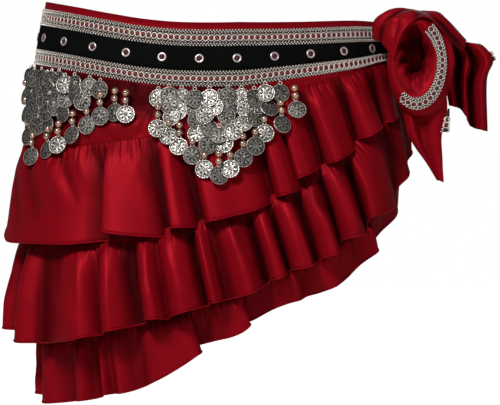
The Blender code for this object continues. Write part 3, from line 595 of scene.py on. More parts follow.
def make_ruffle(number, top_line):
    """The ruffle's points and the painted shade on each, darkest deep in a fold. Rows run from the seam to
    the hem.
    """
    round_hem, out_hem, drop_hem = hem_path(number, HEM_STEP)
    round_seam = np.maximum.accumulate(smoothed(round_hem, SEAM_SMOOTHING / HEM_STEP))
    shares = ROW_SHARES
    lean = table_value(FOLD_LEAN, np.abs(round_seam)) * np.sign(round_seam)
    lean = lean * np.clip((TIER_END - np.abs(round_seam)) / END_EASE, 0, 1)
    hem = band_line(round_hem, "bottom") - drop_hem
    drop = top_line(round_seam) - hem
    weight = shares**0.55
    s = round_seam + (round_hem - round_seam) * weight - lean * drop * (1 - shares)
    along = np.cumsum(np.full(len(round_hem), HEM_STEP)) + 0 * shares
    top = top_line(s)
    share_out = smoothed(out_hem, PANEL_SMOOTHING / HEM_STEP)
    share_out = share_out + (out_hem - share_out) * shares**0.4
    valley = table_value(TIER_SHAPES[number], shares, 1)
    crest = table_value(TIER_SHAPES[number], shares, 2)
    out = valley + (crest - valley) * share_out
    down = drop * shares
    # Small gathers under the seam, a crushed zone below them, then long soft waves to the hem.
    pucker = np.exp(-((down / PUCKER_DEPTH) ** 2)) * (1 - np.exp(-((down / 1.8) ** 2)))
    fine = 1.3 * np.sin(along * 2 * np.pi / 5.2 + 1.4 * np.sin(along / 13.0))
    gather = fine + 0.9 * np.sin(along * 2 * np.pi / 8.9 + 2 * np.sin(along / 19.0))
    crushed = soft_noise(along * 0.8 + 0.35 * down, down, 5.2, 26, number * 3)
    crumple = 0.9 * crushed * np.exp(-((down / CRUMPLE_DEPTH) ** 2))
    drape = 0.9 * soft_noise(along * 0.6 - 0.5 * down, down, 9.0, 24, number * 5 + 1) * shares**0.5
    creased = crease_field(s, down, RUFFLE_CREASES[number]) * (0.35 + 0.65 * share_out)
    out = out + pucker * gather + np.maximum(crumple + drape, -1.2) * np.clip(down / 6.0, 0, 1) + creased
    height = top + (hem - top) * shares
    out = stand_out(s, top) + out
    on_cloth = stand_out(s, height) + CLEAR_OF_BASE
    out = np.where(height > base_foot(s), np.maximum(out, on_cloth), out)
    # Painted shade: the colour is darkened between two panels, between the gathers and in its creases.
    panel_painted_shade = np.clip(1.12 - 1.8 * share_out, 0, 1) * np.clip(0.3 + 3 * shares, 0, 1) * FOLD_PAINTED_SHADE[number]
    gather_painted_shade = np.exp(-((down / GATHER_SHADE) ** 2)) * np.clip(-0.42 * gather - 0.16 * crumple, 0, 0.8)
    painted_fold_shade = panel_painted_shade + np.clip(-0.16 * creased, 0, 0.4) + gather_painted_shade + np.clip(-0.12 * drape, 0, 0.3)
    return on_hips(s, out, height), np.clip(painted_fold_shade, 0, 1)


def below(column, lift=0.0):
    return lambda along: depth_line(along, column) + lift


RUFFLE_SEAMS = {1: below(YOKE), 2: below(HEM_1, TIER_OVERLAP), 3: below(HEM_2, TIER_OVERLAP)}
ruffles = {}
for number, seam in RUFFLE_SEAMS.items():
    points, painted_fold_shade = make_ruffle(number, seam)
    ruffle = sheet_object(f"ruffle_{number}", points, satin, SINGLE_CLOTH, painted_fold_shade)
    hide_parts(f"tier_{number}_front", f"tier_{number}_back")
    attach(ruffle, "root")
    ruffles[number] = (ruffle, points)
    print(ruffle.name, len(ruffle.data.polygons), "faces,", [round(v) for v in ruffle["flat_mm"]])

# %% [markdown]
# ## Rolled hems
#
# The edge of each ruffle is turned over twice and stitched, so it is thicker than the cloth and
# catches a thin line of light. A narrow tube along the last row of the ruffle stands for that roll.

# %% Hems
HEM_RADIUS, HEM_SIDES = 0.85, 6


def tube_points(path, radius, sides):
    """Rings of points round a path that runs round the hips, one ring for each of its points."""
    ahead = np.gradient(path, axis=0)
    ahead /= np.linalg.norm(ahead, axis=1, keepdims=True)
    across = np.cross(ahead, (0.0, 0.0, 1.0))
    across /= np.linalg.norm(across, axis=1, keepdims=True)
    up = np.cross(across, ahead)
    turn = np.linspace(0, 2 * np.pi, sides + 1)[:-1]
    sideways = across[:, None] * np.cos(turn)[:, None]
    upward = up[:, None] * np.sin(turn)[:, None]
    return path[:, None] + radius * (sideways + upward)


def tube_object(name, path, radius, sides, finish):
    rings = tube_points(path, radius, sides)
    count = len(path)
    at = np.arange(count * sides).reshape(count, sides)
    nxt = np.roll(at, -1, axis=1)
    faces = np.stack([at[:-1], nxt[:-1], nxt[1:], at[1:]], -1).reshape(-1, 4).tolist()
    faces += [list(at[0][::-1]), list(at[-1])]
    mesh = bpy.data.meshes.new(name)
    mesh.from_pydata((rings.reshape(-1, 3) * MM).tolist(), [], faces)
    mesh.materials.append(finish)
    layer = mesh.uv_layers.new(name="cloth")
    flat = np.array([mesh.vertices[i].co[:2] for loop in mesh.polygons for i in loop.vertices])
    layer.data.foreach_set("uv", flat.reshape(-1))
    obj = new_object(name, mesh)
    activate(obj)
    bpy.ops.object.mode_set(mode="EDIT")
    bpy.ops.mesh.select_all(action="SELECT")
    bpy.ops.mesh.normals_make_consistent(inside=False)
    bpy.ops.object.mode_set(mode="OBJECT")
    bpy.ops.object.shade_smooth()
    return obj


for number, (ruffle, points) in ruffles.items():
    # The roll's middle lies a little above the last row of points.
    last_row = points[-1] + (points[-2] - points[-1]) * 0.15
    hem = tube_object(f"hem_{number}", last_row, HEM_RADIUS, HEM_SIDES, satin)
    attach(hem, "root")
    print(hem.name, len(hem.data.polygons), "faces")

# %% [markdown]
# ## Ribbon and its eyelets
#
# Black grosgrain runs along the middle of the band, between the braids. It is a strip, so its rows
# are simply spread between the ribbon's two lines. One eyelet is shaped from a torus, flattened as
# a pressed ring is, with a dark disc behind it that paints the shade in its hole, and then copied
# to every place on the ribbon.

# %% Ribbon
TRIM_FROM, TRIM_TO = -481.0, 393.0
RIBBON_OUT = 1.45
ribbon_s = np.linspace(TRIM_FROM, TRIM_TO, 320)
ribbon_rows = []
for share in np.linspace(0, 1, 6):
    height = band_line(ribbon_s, "top") * (1 - share) + band_line(ribbon_s, "low") * share
    waves = 0.12 * soft_noise(ribbon_s, share * 24, 30, 12, 3)
    ribbon_rows.append(on_base(ribbon_s, height, RIBBON_OUT + waves))
ribbon = sheet_object("ribbon", np.stack(ribbon_rows), black_ribbon, SINGLE_CLOTH)
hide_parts("ribbon_black")
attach(ribbon, "root")
print("ribbon:", len(ribbon.data.polygons), "faces")

# %% [markdown]
# ## Metal, pearl and thread
#
# Worn metal isn't one even grey: it has a darker film where it isn't rubbed. A noise texture on the
# piece's own Object coordinates mixes the two colours and makes the film rougher too. All six
# finishes differ only in colour, polish and size of the patches, so one function makes them.

# %% Metal, pearl and braid materials
def metal_material(name, colour, dark, roughness, metallic, scale):
    """Worn metal: a darker film in patches, on the piece's own place."""
    made, tree, shader = new_material(name)
    where = add_node(tree, "ShaderNodeTexCoord")
    patches = add_node(tree, "ShaderNodeTexNoise",
                       {"Vector": where.outputs["Object"], "Scale": scale, "Detail": 3.0})
    film = patches.outputs["Fac"]
    mix = add_node(tree, "ShaderNodeMix", {"A": (*dark, 1), "B": (*colour, 1), "Factor": film},
                   data_type="RGBA")
    feed(tree, shader, {"Base Color": mix.outputs["Result"], "Metallic": metallic,
                        "Roughness": ranged(tree, film, roughness - 0.08, roughness + 0.12)})
    return made


eyelet_metal = metal_material("eyelet metal", (0.90, 0.74, 0.73), (0.52, 0.38, 0.38), 0.30, 0.75, 900.0)
silver_thread = metal_material("silver thread", (1.0, 0.95, 0.87), (0.66, 0.60, 0.52), 0.32, 0.32, 1400.0)
# A near-black strip under each braid, seen in the gaps between the cords.
dark_braid_gaps = metal_material("dark backing", (0.040, 0.009, 0.009), (0.006, 0.002, 0.002), 0.8, 0.0, 700.0)
wine_dot = metal_material("wine thread", (0.25, 0.008, 0.016), (0.050, 0.002, 0.004), 0.55, 0.0, 800.0)
# A dark red disc in each eyelet: painted shade for the satin seen through the hole.
painted_eyelet_hole_shade = metal_material("eyelet hole", (0.070, 0.008, 0.011), (0.014, 0.002, 0.003), 0.7, 0.0, 500.0)
pearl = metal_material("champagne pearl", (0.80, 0.55, 0.42), (0.42, 0.26, 0.19), 0.18, 0.82, 160.0)
print("trim finishes ready")

# %% [markdown]
# ## One shape, many copies
#
# Eyelets, coins, pearls and the grains of the braid are each the same small shape many times. An
# Array modifier could repeat a shape along a curve. These follow a surface that bends both ways, and
# a whole fringe or braid has to be one piece, so the points of one shape are copied to each place.

# %% Copies of one modelled shape
def take_shape(obj):
    """Reads the points in mm and the faces of a finished pattern shape, and removes its object."""
    mesh = obj.data
    points = np.empty(len(mesh.vertices) * 3)
    mesh.vertices.foreach_get("co", points)
    faces = [list(face.vertices) for face in mesh.polygons]
    bpy.data.objects.remove(obj, do_unlink=True)
    return points.reshape(-1, 3) / MM, faces


def stretched_shape(value):
    """Scales a new shape in edit mode, so that its object stays unscaled, and takes it."""
    bpy.ops.object.mode_set(mode="EDIT")
    bpy.ops.mesh.select_all(action="SELECT")
    bpy.ops.transform.resize(value=value)
    bpy.ops.object.mode_set(mode="OBJECT")
    return take_shape(bpy.context.object)


def frames_at(middle, across, up, turn=0.0, scale=1.0):
    """Where copies go: their middles, and the directions that the shape's X, Y and Z become."""
    across = across / np.linalg.norm(across, axis=-1, keepdims=True)
    out = np.cross(across, up)
    out /= np.linalg.norm(out, axis=-1, keepdims=True)
    up = np.cross(out, across)
    turn = np.broadcast_to(turn, middle.shape[:1])[:, None]
    x = across * np.cos(turn) + up * np.sin(turn)
    y = up * np.cos(turn) - across * np.sin(turn)
    return middle, np.stack([x, y, out], 1) * np.broadcast_to(scale, middle.shape[:1])[:, None, None]


def copy_arrays(shape, frames):
    points, faces = shape
    middle, axes = frames
    placed = middle[:, None] + np.einsum("pk,nkj->npj", points, axes)
    count = len(points)
    copied = [[i + n * count for i in face] for n in range(len(middle)) for face in faces]
    return placed.reshape(-1, 3), copied


def joined_copies(sets):
    """The points and faces of several sets of copies, as one set."""
    points, faces, first = [], [], 0
    for placed, copied in sets:
        points.append(placed)
        faces += [[i + first for i in face] for face in copied]
        first += len(placed)
    return np.concatenate(points), faces


def joined_object(name, parts):
    """One object from several sets of copies, each with its own material."""
    points, faces = joined_copies([(placed, copied) for placed, copied, _ in parts])
    slots = [number for number, (_, copied, _) in enumerate(parts) for _ in copied]
    mesh = bpy.data.meshes.new(name)
    mesh.from_pydata((points * MM).tolist(), [], faces)
    for _, _, finish in parts:
        mesh.materials.append(finish)
    mesh.polygons.foreach_set("material_index", slots)
    obj = new_object(name, mesh)
    activate(obj)
    bpy.ops.object.shade_smooth()
    return obj


print("copy helpers ready")

# %% One eyelet, then all of them
EYELET_FIRST, EYELET_PITCH, EYELET_COUNT = 349.0, 35.6, 23
EYELET_OUT, HOLE_OUT = 2.0, 1.5
deselect()
bpy.ops.mesh.primitive_torus_add(major_radius=3.45 * MM, minor_radius=0.95 * MM,
                                 major_segments=24, minor_segments=8)
eyelet_shape = stretched_shape((1, 1, 0.62))
deselect()
bpy.ops.mesh.primitive_cylinder_add(vertices=12, radius=2.8 * MM, depth=0.5 * MM)
hole_shape = take_shape(bpy.context.object)


def frame_on_base(along, height, out):
    """Middles and directions for copies that lie on the satin base."""
    step = 1.5
    middle = on_base(along, height, out)
    across = on_base(along + step, height, out) - on_base(along - step, height, out)
    up = on_base(along, height + step, out) - on_base(along, height - step, out)
    return middle, across, up


eyelet_s = EYELET_FIRST - EYELET_PITCH * np.arange(EYELET_COUNT)
eyelet_frames = frames_at(*frame_on_base(eyelet_s, band_line(eyelet_s, "middle"), EYELET_OUT))
hole_frames = frames_at(*frame_on_base(eyelet_s, band_line(eyelet_s, "middle"), HOLE_OUT))
eyelets = joined_object("eyelets", [(*copy_arrays(eyelet_shape, eyelet_frames), eyelet_metal),
                                    (*copy_arrays(hole_shape, hole_frames), painted_eyelet_hole_shade)])
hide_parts(*[f"eyelet_{number + 1:02d}" for number in range(EYELET_COUNT)])
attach(eyelets, "root")
print("eyelets:", EYELET_COUNT)

# %% [markdown]
# ## Silver braid
#
# The braid is woven from silver cord: two twisted cords along each edge, and a row of round loops
# in the middle with a wine-red thread in each. A twisted cord seen close is a row of slanted grains,
# so one grain, one loop and one dot are shaped and copied. The copies follow any surface, which
# lets the same braid run along the band and round the bow.

# %% Shapes of the braid
deselect()
bpy.ops.mesh.primitive_uv_sphere_add(segments=6, ring_count=4, radius=1.0 * MM)
grain_shape = stretched_shape((1.4, 0.48, 0.75))
deselect()
bpy.ops.mesh.primitive_torus_add(major_radius=2.62 * MM, minor_radius=0.42 * MM,
                                 major_segments=14, minor_segments=4)
loop_shape = stretched_shape((1.0, 1.12, 1.0))
deselect()
bpy.ops.mesh.primitive_uv_sphere_add(segments=8, ring_count=4, radius=1.0 * MM)
dot_shape = stretched_shape((1.9, 2.15, 0.6))
print("grain, loop and dot:", [len(s[1]) for s in (grain_shape, loop_shape, dot_shape)], "faces")


# %% Lay braid on any surface
LOOP_PITCH, GRAIN_PITCH = 5.55, 3.0
EDGE_CORDS = (
    # share of the way down the braid, turn of each grain, mm out
    (0.05, 0.8, 1.0), (0.155, -0.7, 1.3), (0.845, 0.7, 1.3), (0.95, -0.8, 1.0),
)
INNER_GRAINS = ((0.27, 0.9), (0.73, -0.9))
BACKING_ROWS = (
    # share of the way down the braid, mm out
    (0.01, 0.35), (0.01, 0.7), (0.25, 0.7), (0.5, 0.7), (0.75, 0.7), (0.99, 0.7), (0.99, 0.35),
)


def braid_parts(surface, start, end):
    """surface(along, share, out) gives a point; share runs from the braid's upper edge to its lower."""

    def frames(along, share, out, turn, scale=1.0):
        step, share_step = 0.8, 0.03
        share = np.broadcast_to(share, along.shape)
        middle = surface(along, share, out)
        across = surface(along + step, share, out) - surface(along - step, share, out)
        up = surface(along, share - share_step, out) - surface(along, share + share_step, out)
        return frames_at(middle, across, up, turn, scale)

    loops = np.arange(start + LOOP_PITCH / 2, end - LOOP_PITCH / 2, LOOP_PITCH)
    grains = np.arange(start + 1, end - 1, GRAIN_PITCH)
    silver = []
    for share, turn, out in EDGE_CORDS:
        shift = 0.5 * GRAIN_PITCH if turn > 0 else 0.0
        silver.append(copy_arrays(grain_shape, frames(grains + shift, share, out, turn)))
    for share, turn in INNER_GRAINS:
        silver.append(copy_arrays(grain_shape, frames(loops + LOOP_PITCH / 2, share, 0.95, turn, 0.8)))
    silver.append(copy_arrays(loop_shape, frames(loops, 0.5, 1.0, 0.0)))
    dots = copy_arrays(dot_shape, frames(loops, 0.5, 0.95, 0.0))
    return [(*joined_copies(silver), silver_thread), (*dots, wine_dot)]


def backing_part(surface, start, end, columns):
    """The near-black strip under the open braid, which shows in the gaps between its cords."""
    along = np.linspace(start, end, columns)
    rows = [surface(along, np.full(columns, share), out) for share, out in BACKING_ROWS]
    at = np.arange(len(rows) * columns).reshape(len(rows), columns)
    nxt = np.roll(at, -1, axis=0)
    faces = np.stack([at[:, :-1], nxt[:, :-1], nxt[:, 1:], at[:, 1:]], -1).reshape(-1, 4).tolist()
    faces += [list(at[:, 0][::-1]), list(at[:, -1])]
    return np.concatenate(rows), faces, dark_braid_gaps


def band_surface(upper, lower):
    def surface(along, share, out):
        height = band_line(along, upper) * (1 - share) + band_line(along, lower) * share
        return on_base(along, height, out)
    return surface


for name, upper, lower in (("braid_upper", "strip", "top"), ("braid_lower", "low", "bottom")):
    surface = band_surface(upper, lower)
    braid = joined_object(f"silver_{name}", [
        backing_part(surface, TRIM_FROM, TRIM_TO, 300), *braid_parts(surface, TRIM_FROM, TRIM_TO)])
    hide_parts(name)
    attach(braid, "root")
    print(braid.name, len(braid.data.polygons), "faces")

# %% [markdown]
# ## Coins and pearls
#
# The coins are thin stamped discs with a raised rim and a worn pattern that means nothing: a ring of
# dots round a rosette. One coin is turned from a cylinder by insetting and moving its faces. The
# pattern is too fine for geometry, so the material raises it, from a UV map laid on the coin's face.

# %% One coin
COIN_RADIUS = 9.0
COIN_STEPS = (
    # mm inward from the last edge, then mm up
    (0.35, 0.25), (0.65, 0.0), (0.35, -0.45), (4.2, 0.25),
)
deselect()
bpy.ops.mesh.primitive_cylinder_add(vertices=20, radius=COIN_RADIUS * MM, depth=1.0 * MM)
coin = bpy.context.object
bpy.ops.object.mode_set(mode="EDIT")
bpy.ops.mesh.select_mode(type="FACE")
bpy.ops.mesh.select_all(action="DESELECT")
bpy.ops.object.mode_set(mode="OBJECT")
for face in coin.data.polygons:
    face.select = face.normal.z > 0.9
bpy.ops.object.mode_set(mode="EDIT")
for inward, rise in COIN_STEPS:
    bpy.ops.mesh.inset(thickness=inward * MM)
    bpy.ops.transform.translate(value=(0, 0, rise * MM))
bpy.ops.object.mode_set(mode="OBJECT")
coin_shape = take_shape(coin)
deselect()
bpy.ops.mesh.primitive_torus_add(major_radius=1.7 * MM, minor_radius=0.4 * MM,
                                 major_segments=8, minor_segments=4)
link_shape = take_shape(bpy.context.object)
deselect()
bpy.ops.mesh.primitive_uv_sphere_add(segments=12, ring_count=8, radius=3.5 * MM)
bead_shape = take_shape(bpy.context.object)
print("coin:", len(coin_shape[1]), "faces")

# %% Coin metal
coin_metal, tree, shader = new_material("coin metal")


def math_node(kind, *values):
    """One step of arithmetic with numbers and other nodes' outputs."""
    return add_node(tree, "ShaderNodeMath", dict(enumerate(values)), operation=kind).outputs[0]


def waves_on_coin(count_round, closeness):
    """This many waves round the coin, times waves that follow one another outward."""
    return math_node("MULTIPLY", math_node("COSINE", math_node("MULTIPLY", turn, count_round)),
                     math_node("SINE", math_node("MULTIPLY", radius, closeness)))


coin_uv = add_node(tree, "ShaderNodeUVMap", uv_map="coin")
split = add_node(tree, "ShaderNodeSeparateXYZ", {0: coin_uv.outputs["UV"]})
x, y = split.outputs[0], split.outputs[1]
radius = math_node("SQRT", math_node("ADD", math_node("MULTIPLY", x, x), math_node("MULTIPLY", y, y)))
turn = math_node("ARCTAN2", y, x)
petals = waves_on_coin(8.0, 9.0)
dots = waves_on_coin(22.0, 24.0)
inner = math_node("LESS_THAN", radius, 0.62)
relief = math_node("ADD", math_node("MULTIPLY", petals, inner),
                   math_node("MULTIPLY", dots, math_node("SUBTRACT", 1.0, inner)))
groove = math_node("COMPARE", radius, 0.84, 0.035)
rim = math_node("GREATER_THAN", radius, 0.88)
raised = math_node("ADD", math_node("MULTIPLY", relief, 0.26), math_node("MULTIPLY", rim, 0.22))
sunk = math_node("MULTIPLY", groove, 0.45)
coin_place = add_node(tree, "ShaderNodeTexCoord")
wear = add_node(tree, "ShaderNodeTexNoise",
                {"Vector": coin_place.outputs["Object"], "Scale": 420.0, "Detail": 4.0})
tone = math_node("ADD", math_node("SUBTRACT", raised, sunk), wear.outputs["Fac"])
ramp = add_node(tree, "ShaderNodeValToRGB", {"Fac": tone})
ramp.color_ramp.elements[0].position = 0.36
ramp.color_ramp.elements[0].color = (0.020, 0.019, 0.018, 1)
ramp.color_ramp.elements[1].position = 0.84
ramp.color_ramp.elements[1].color = (0.56, 0.52, 0.47, 1)
coin_bump = add_node(tree, "ShaderNodeBump", {"Strength": 0.6, "Distance": 0.0005, "Height": tone})
feed(tree, shader, {"Base Color": ramp.outputs["Color"], "Roughness": ranged(tree, tone, 0.55, 0.30),
                    "Metallic": 0.85, "Normal": coin_bump.outputs["Normal"]})
print("coin metal:", len(tree.nodes), "nodes")

# %% [markdown]
# ## Where the coins hang
#
# The coins are sewn on in triangles, point down. The upper ones overlap like scales, and the lowest
# hang on one or two pearls. Their places are read from the picture for the fringe at the front and
# for the one at the side. The fringe at the back repeats the front one the other way round.

# %% Tables of the coins
FRONT_COINS = (
    # mm to the side of the middle, mm below the braid, pearls above
    (-63, 13, 0), (-52, 10, 0), (-40, 11, 0), (-27, 12, 0), (-13, 11, 0), (-3, 14, 0), (5, 10, 0),
    (18, 11, 0), (30, 13, 0), (41, 10, 0), (56, 12, 0), (-51, 19, 0), (-43, 24, 0), (-28, 21, 0),
    (-8, 20, 0), (5, 22, 0), (22, 23, 0), (33, 21, 0), (44, 25, 0), (-49, 30, 0), (-25, 33, 0),
    (-17, 27, 0), (3, 28, 0), (6, 35, 0), (19, 36, 0), (30, 33, 0), (-25, 45, 0), (-13, 40, 0),
    (-4, 47, 0), (9, 44, 0), (-14, 56, 0), (1, 55, 0), (-62, 42, 2), (-51, 49, 1), (-41, 58, 2),
    (-28, 66, 1), (-17, 79, 1), (-4, 85, 2), (6, 79, 1), (18, 69, 2), (29, 59, 1), (38, 48, 1),
    (54, 42, 2), (69, 30, 2),
)
SIDE_COINS = (
    (-62, 12, 0), (-48, 13, 0), (-33, 11, 0), (-19, 13, 0), (-5, 12, 0), (5, 14, 0), (15, 12, 0),
    (25, 11, 0), (36, 14, 0), (47, 12, 0), (65, 12, 0), (78, 13, 0), (-40, 23, 0), (-26, 25, 0), (-10, 24, 0),
    (1, 22, 0), (12, 22, 0), (27, 23, 0), (37, 28, 0), (49, 20, 0), (58, 27, 0), (-22, 36, 0),
    (-9, 39, 0), (3, 31, 0), (14, 34, 0), (24, 37, 0), (34, 42, 0), (-16, 50, 0), (-3, 50, 0), (12, 44, 0),
    (-5, 59, 0), (13, 57, 0), (-56, 32, 1), (-43, 49, 1), (-26, 71, 2), (-7, 89, 2), (17, 80, 2), (33, 73, 2),
    (49, 61, 2), (65, 49, 1), (80, 38, 2), (95, 32, 2), (107, 32, 2),
)
FRINGES = {
    "front": (193.0, FRONT_COINS),
    "side": (8.0, SIDE_COINS),
    "back": (-178.0, tuple((-side, drop, pearls) for side, drop, pearls in FRONT_COINS)),
}


ROLL_OUT, ROLL_START, ROLL_WIDTH = 2.2, 24, 20


def covered_out(along, drop):
    """How far out the yoke, or the flutes of the first ruffle below it, reach."""
    yoke, hem = table_value(DEPTHS, np.abs(along), YOKE), table_value(DEPTHS, np.abs(along), HEM_1)
    share = np.clip((drop - yoke) / (hem - yoke), 0, 1)
    roll = ROLL_OUT * np.clip((drop - yoke + ROLL_START) / ROLL_WIDTH, 0, 1)
    on_yoke = table_value(STAND_OUT, drop) + roll
    on_flutes = table_value(STAND_OUT, yoke) + table_value(TIER_SHAPES[1], share, 2)
    return np.where(drop <= yoke, on_yoke, on_flutes)


# %% Lay out the fringes
COINS_OUT, COIN_LIFT = 16.0, 2.6
LINK_GAP, BEAD_GAP, BEAD_PITCH = 0.6, 4.2, 7.2
TURNED_FORWARD = {"front": 0.0, "side": -0.36, "back": 0.0}


def walk_round(centre, side, out, steps=8):
    """The place this far to one side, measured along a surface this far out from the hips."""
    along = np.full(len(side), centre)
    for _ in range(steps):
        angle = angle_at(along)
        speed = np.hypot(HALF_WIDTH * np.sin(angle), HALF_DEPTH * np.cos(angle))
        along = along + side / steps / (1 + out * HALF_WIDTH * HALF_DEPTH / speed**3)
    return along


def hanging_frames(along, drop, lift, turn=0.0, yaw=0.0, tip=0.0, reach=7):
    """Frames that lie against the cloth behind them, turned in their own plane, sideways and over."""
    height = band_line(along, "bottom") - drop
    middle = on_hips(along, covered_out(along, drop) + lift, height)
    top = on_hips(along, covered_out(along, drop - reach) + lift, height + reach)
    low = on_hips(along, covered_out(along, drop + reach) + lift, height - reach)
    up = (top - low) / np.linalg.norm(top - low, axis=1, keepdims=True)
    out = outward(along)
    up = up + out * np.broadcast_to(tip, along.shape)[:, None]
    across = np.cross(up, out)
    across /= np.linalg.norm(across, axis=1, keepdims=True)
    across = across + out * np.broadcast_to(yaw, along.shape)[:, None]
    return frames_at(middle, across, up, turn)


for name, (centre, coins) in FRINGES.items():
    side, drop, pearls = np.array(coins, float).T
    count = np.arange(len(side))
    along = walk_round(centre, side, COINS_OUT)
    # No two neighbours hang alike: lift, turn, yaw and tip follow from the coin's number.
    lift = COIN_LIFT + 1.2 * np.modf(count * 0.618)[0] * 2 + np.where(pearls > 0, 0.6, 0.0) + (90 - drop) / 60
    turn = 0.5 * np.sin(count * 2.1)
    yaw = 0.24 * np.sin(count * 3.7) + TURNED_FORWARD[name] * np.clip((75 - side) / 90, 0, 1)
    tip = -0.04 + 0.12 * np.sin(count * 1.3)
    coins_at = copy_arrays(coin_shape, hanging_frames(along, drop, lift, turn, yaw, tip))
    links_at = copy_arrays(link_shape, hanging_frames(along, drop - COIN_RADIUS - LINK_GAP, lift + 0.4))
    strung = [(along[n], drop[n] - COIN_RADIUS - BEAD_GAP - BEAD_PITCH * k, lift[n] + 1.6)
              for n in range(len(side)) for k in range(int(pearls[n]))]
    beads_at = copy_arrays(bead_shape, hanging_frames(*np.array(strung).T))
    fringe = joined_object(f"fringe_{name}", [
        (*coins_at, coin_metal), (*links_at, silver_thread), (*beads_at, pearl)])
    layer = fringe.data.uv_layers.new(name="coin")
    flat_coin = coin_shape[0][:, :2] / COIN_RADIUS
    per_coin = len(flat_coin)
    corners = np.array([v for face in fringe.data.polygons for v in face.vertices])
    corners = np.where(corners < per_coin * len(side), corners % per_coin, 0)
    layer.data.foreach_set("uv", flat_coin[corners].reshape(-1))
    activate(fringe)
    bpy.ops.object.shade_smooth_by_angle(angle=math.radians(35))
    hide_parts(f"coins_{name}")
    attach(fringe, "root")
    print(fringe.name, len(side), "coins,", len(strung), "pearls,", len(fringe.data.polygons), "faces")

# %% [markdown]
# ## Knot and bow
#
# Both ends of the band are tied at the right hip. One end is folded into a loop that opens to the
# front, another piece of cloth passes over it, and two tails come out under it. Each is a grid
# between the same lines as in the solid model, with creases pressed in: a crease is a row in
# a table, from one place on the cloth to another, and it is raised where its height is positive.

# %% Push a grid out, or make one between two edges
def pushed_out(points, height):
    """Moves a grid's points along its own normals, by a height in mm for each of them."""
    down, along = np.gradient(points, axis=0), np.gradient(points, axis=1)
    normal = np.cross(down, along)
    normal /= np.linalg.norm(normal, axis=-1, keepdims=True) + 1e-9
    return points + normal * height[..., None]


def between_edges(edges, columns, rows):
    """A grid between two edge lines that a table gives as x, y and z: rows go from first to second."""
    at = np.linspace(0, len(edges) - 1, columns)
    table = [(n, *row) for n, row in enumerate(edges)]
    one = np.stack([table_value(table, at, k) for k in (1, 2, 3)], -1)
    two = np.stack([table_value(table, at, k) for k in (4, 5, 6)], -1)
    share = np.linspace(0, 1, rows)[:, None, None]
    return one + (two - one) * share


print("grid helpers ready")

# %% [markdown]
# ## Loop of the bow
#
# The loop is a wide piece of satin rolled into a tube that opens to the front. In Blender it could
# be a bent cylinder, but its mouth is uneven, so rings of different size are read from a table and
# the sheet runs through them. The folds inside the mouth are creases that start at the first ring.

# %% Loop of the bow
LOOP_RINGS = (
    # place, y, left x, right x, lowest z, highest z
    (0.0, -61.0, 183.0, 206.0, -22.0, 13.0), (1.0, -88.0, 180.0, 208.0, -27.0, 23.0),
    (2.0, -98.0, 173.5, 214.5, -45.0, 27.0), (3.0, -92.0, 169.0, 223.5, -56.5, 31.0),
    (4.0, -78.0, 169.0, 231.0, -62.0, 33.0), (5.0, -62.0, 172.5, 222.0, -48.0, 23.0),
    (6.0, -52.0, 173.4, 211.3, -29.4, 15.4),
)
LOOP_CREASES = (
    # angle / 60 and place at both ends, half width, height
    (3.3, 1.5, 5.6, 1.15, 0.16, 2.4), (3.2, 1.95, 4.9, 1.75, 0.12, -1.6), (0.4, 0.9, 1.3, 1.5, 0.14, 1.4),
    (-0.8, 3.6, 0.6, 3.5, 0.18, 1.8), (4.3, 3.35, 5.4, 3.6, 0.16, 1.6), (3.1, 0.7, 4.4, 0.75, 0.14, 1.8),
    (5.2, 3.9, 5.9, 3.2, 0.14, -1.4), (0.0, 4.4, 1.0, 3.9, 0.2, 1.5), (4.2, 1.3, 4.9, 2.0, 0.12, -1.1),
)
INNER_FOLDS = (
    # the same, for the folds inside the mouth
    (2.25, 0.0, 2.45, 1.8, 0.13, 2.8), (2.6, 0.0, 2.75, 1.6, 0.10, -2.0), (2.95, 0.0, 3.0, 1.8, 0.14, 3.2),
    (3.3, 0.0, 3.3, 1.6, 0.10, -2.2), (3.65, 0.0, 3.55, 1.7, 0.13, 2.8), (0.5, 0.0, 0.4, 1.4, 0.14, 2.2),
    (4.05, 0.2, 4.3, 1.6, 0.12, -2.0), (4.6, 0.2, 4.75, 1.7, 0.14, 2.6), (5.2, 0.2, 5.15, 1.5, 0.11, -1.6),
    (5.7, 0.0, 5.75, 1.5, 0.14, 1.6),
)


def loop_surface(place, angle, out=0.0):
    """Points on the loop by the place between its rings and the angle in degrees."""

    def on_roll(where, turn):
        back, left, right, low, high = (table_value(LOOP_RINGS, where, k) for k in range(1, 6))
        x = (left + right) / 2 + (right - left) / 2 * np.cos(turn)
        z = (low + high) / 2 + (high - low) / 2 * np.sin(turn)
        return np.stack(np.broadcast_arrays(x, back, z), -1)

    turn = np.radians(angle)
    along = on_roll(place + 0.05, turn) - on_roll(place - 0.05, turn)
    across = on_roll(place, turn + 0.01) - on_roll(place, turn - 0.01)
    normal = np.cross(along, across)
    normal /= np.linalg.norm(normal, axis=-1, keepdims=True) + 1e-9
    return on_roll(place, turn) + normal * np.asarray(out, float)[..., None]


CREASE_UNIT = 60
BRAID_MIDDLE, BRAID_REACH, BRAID_CALM = 2.36, 0.8, 0.94
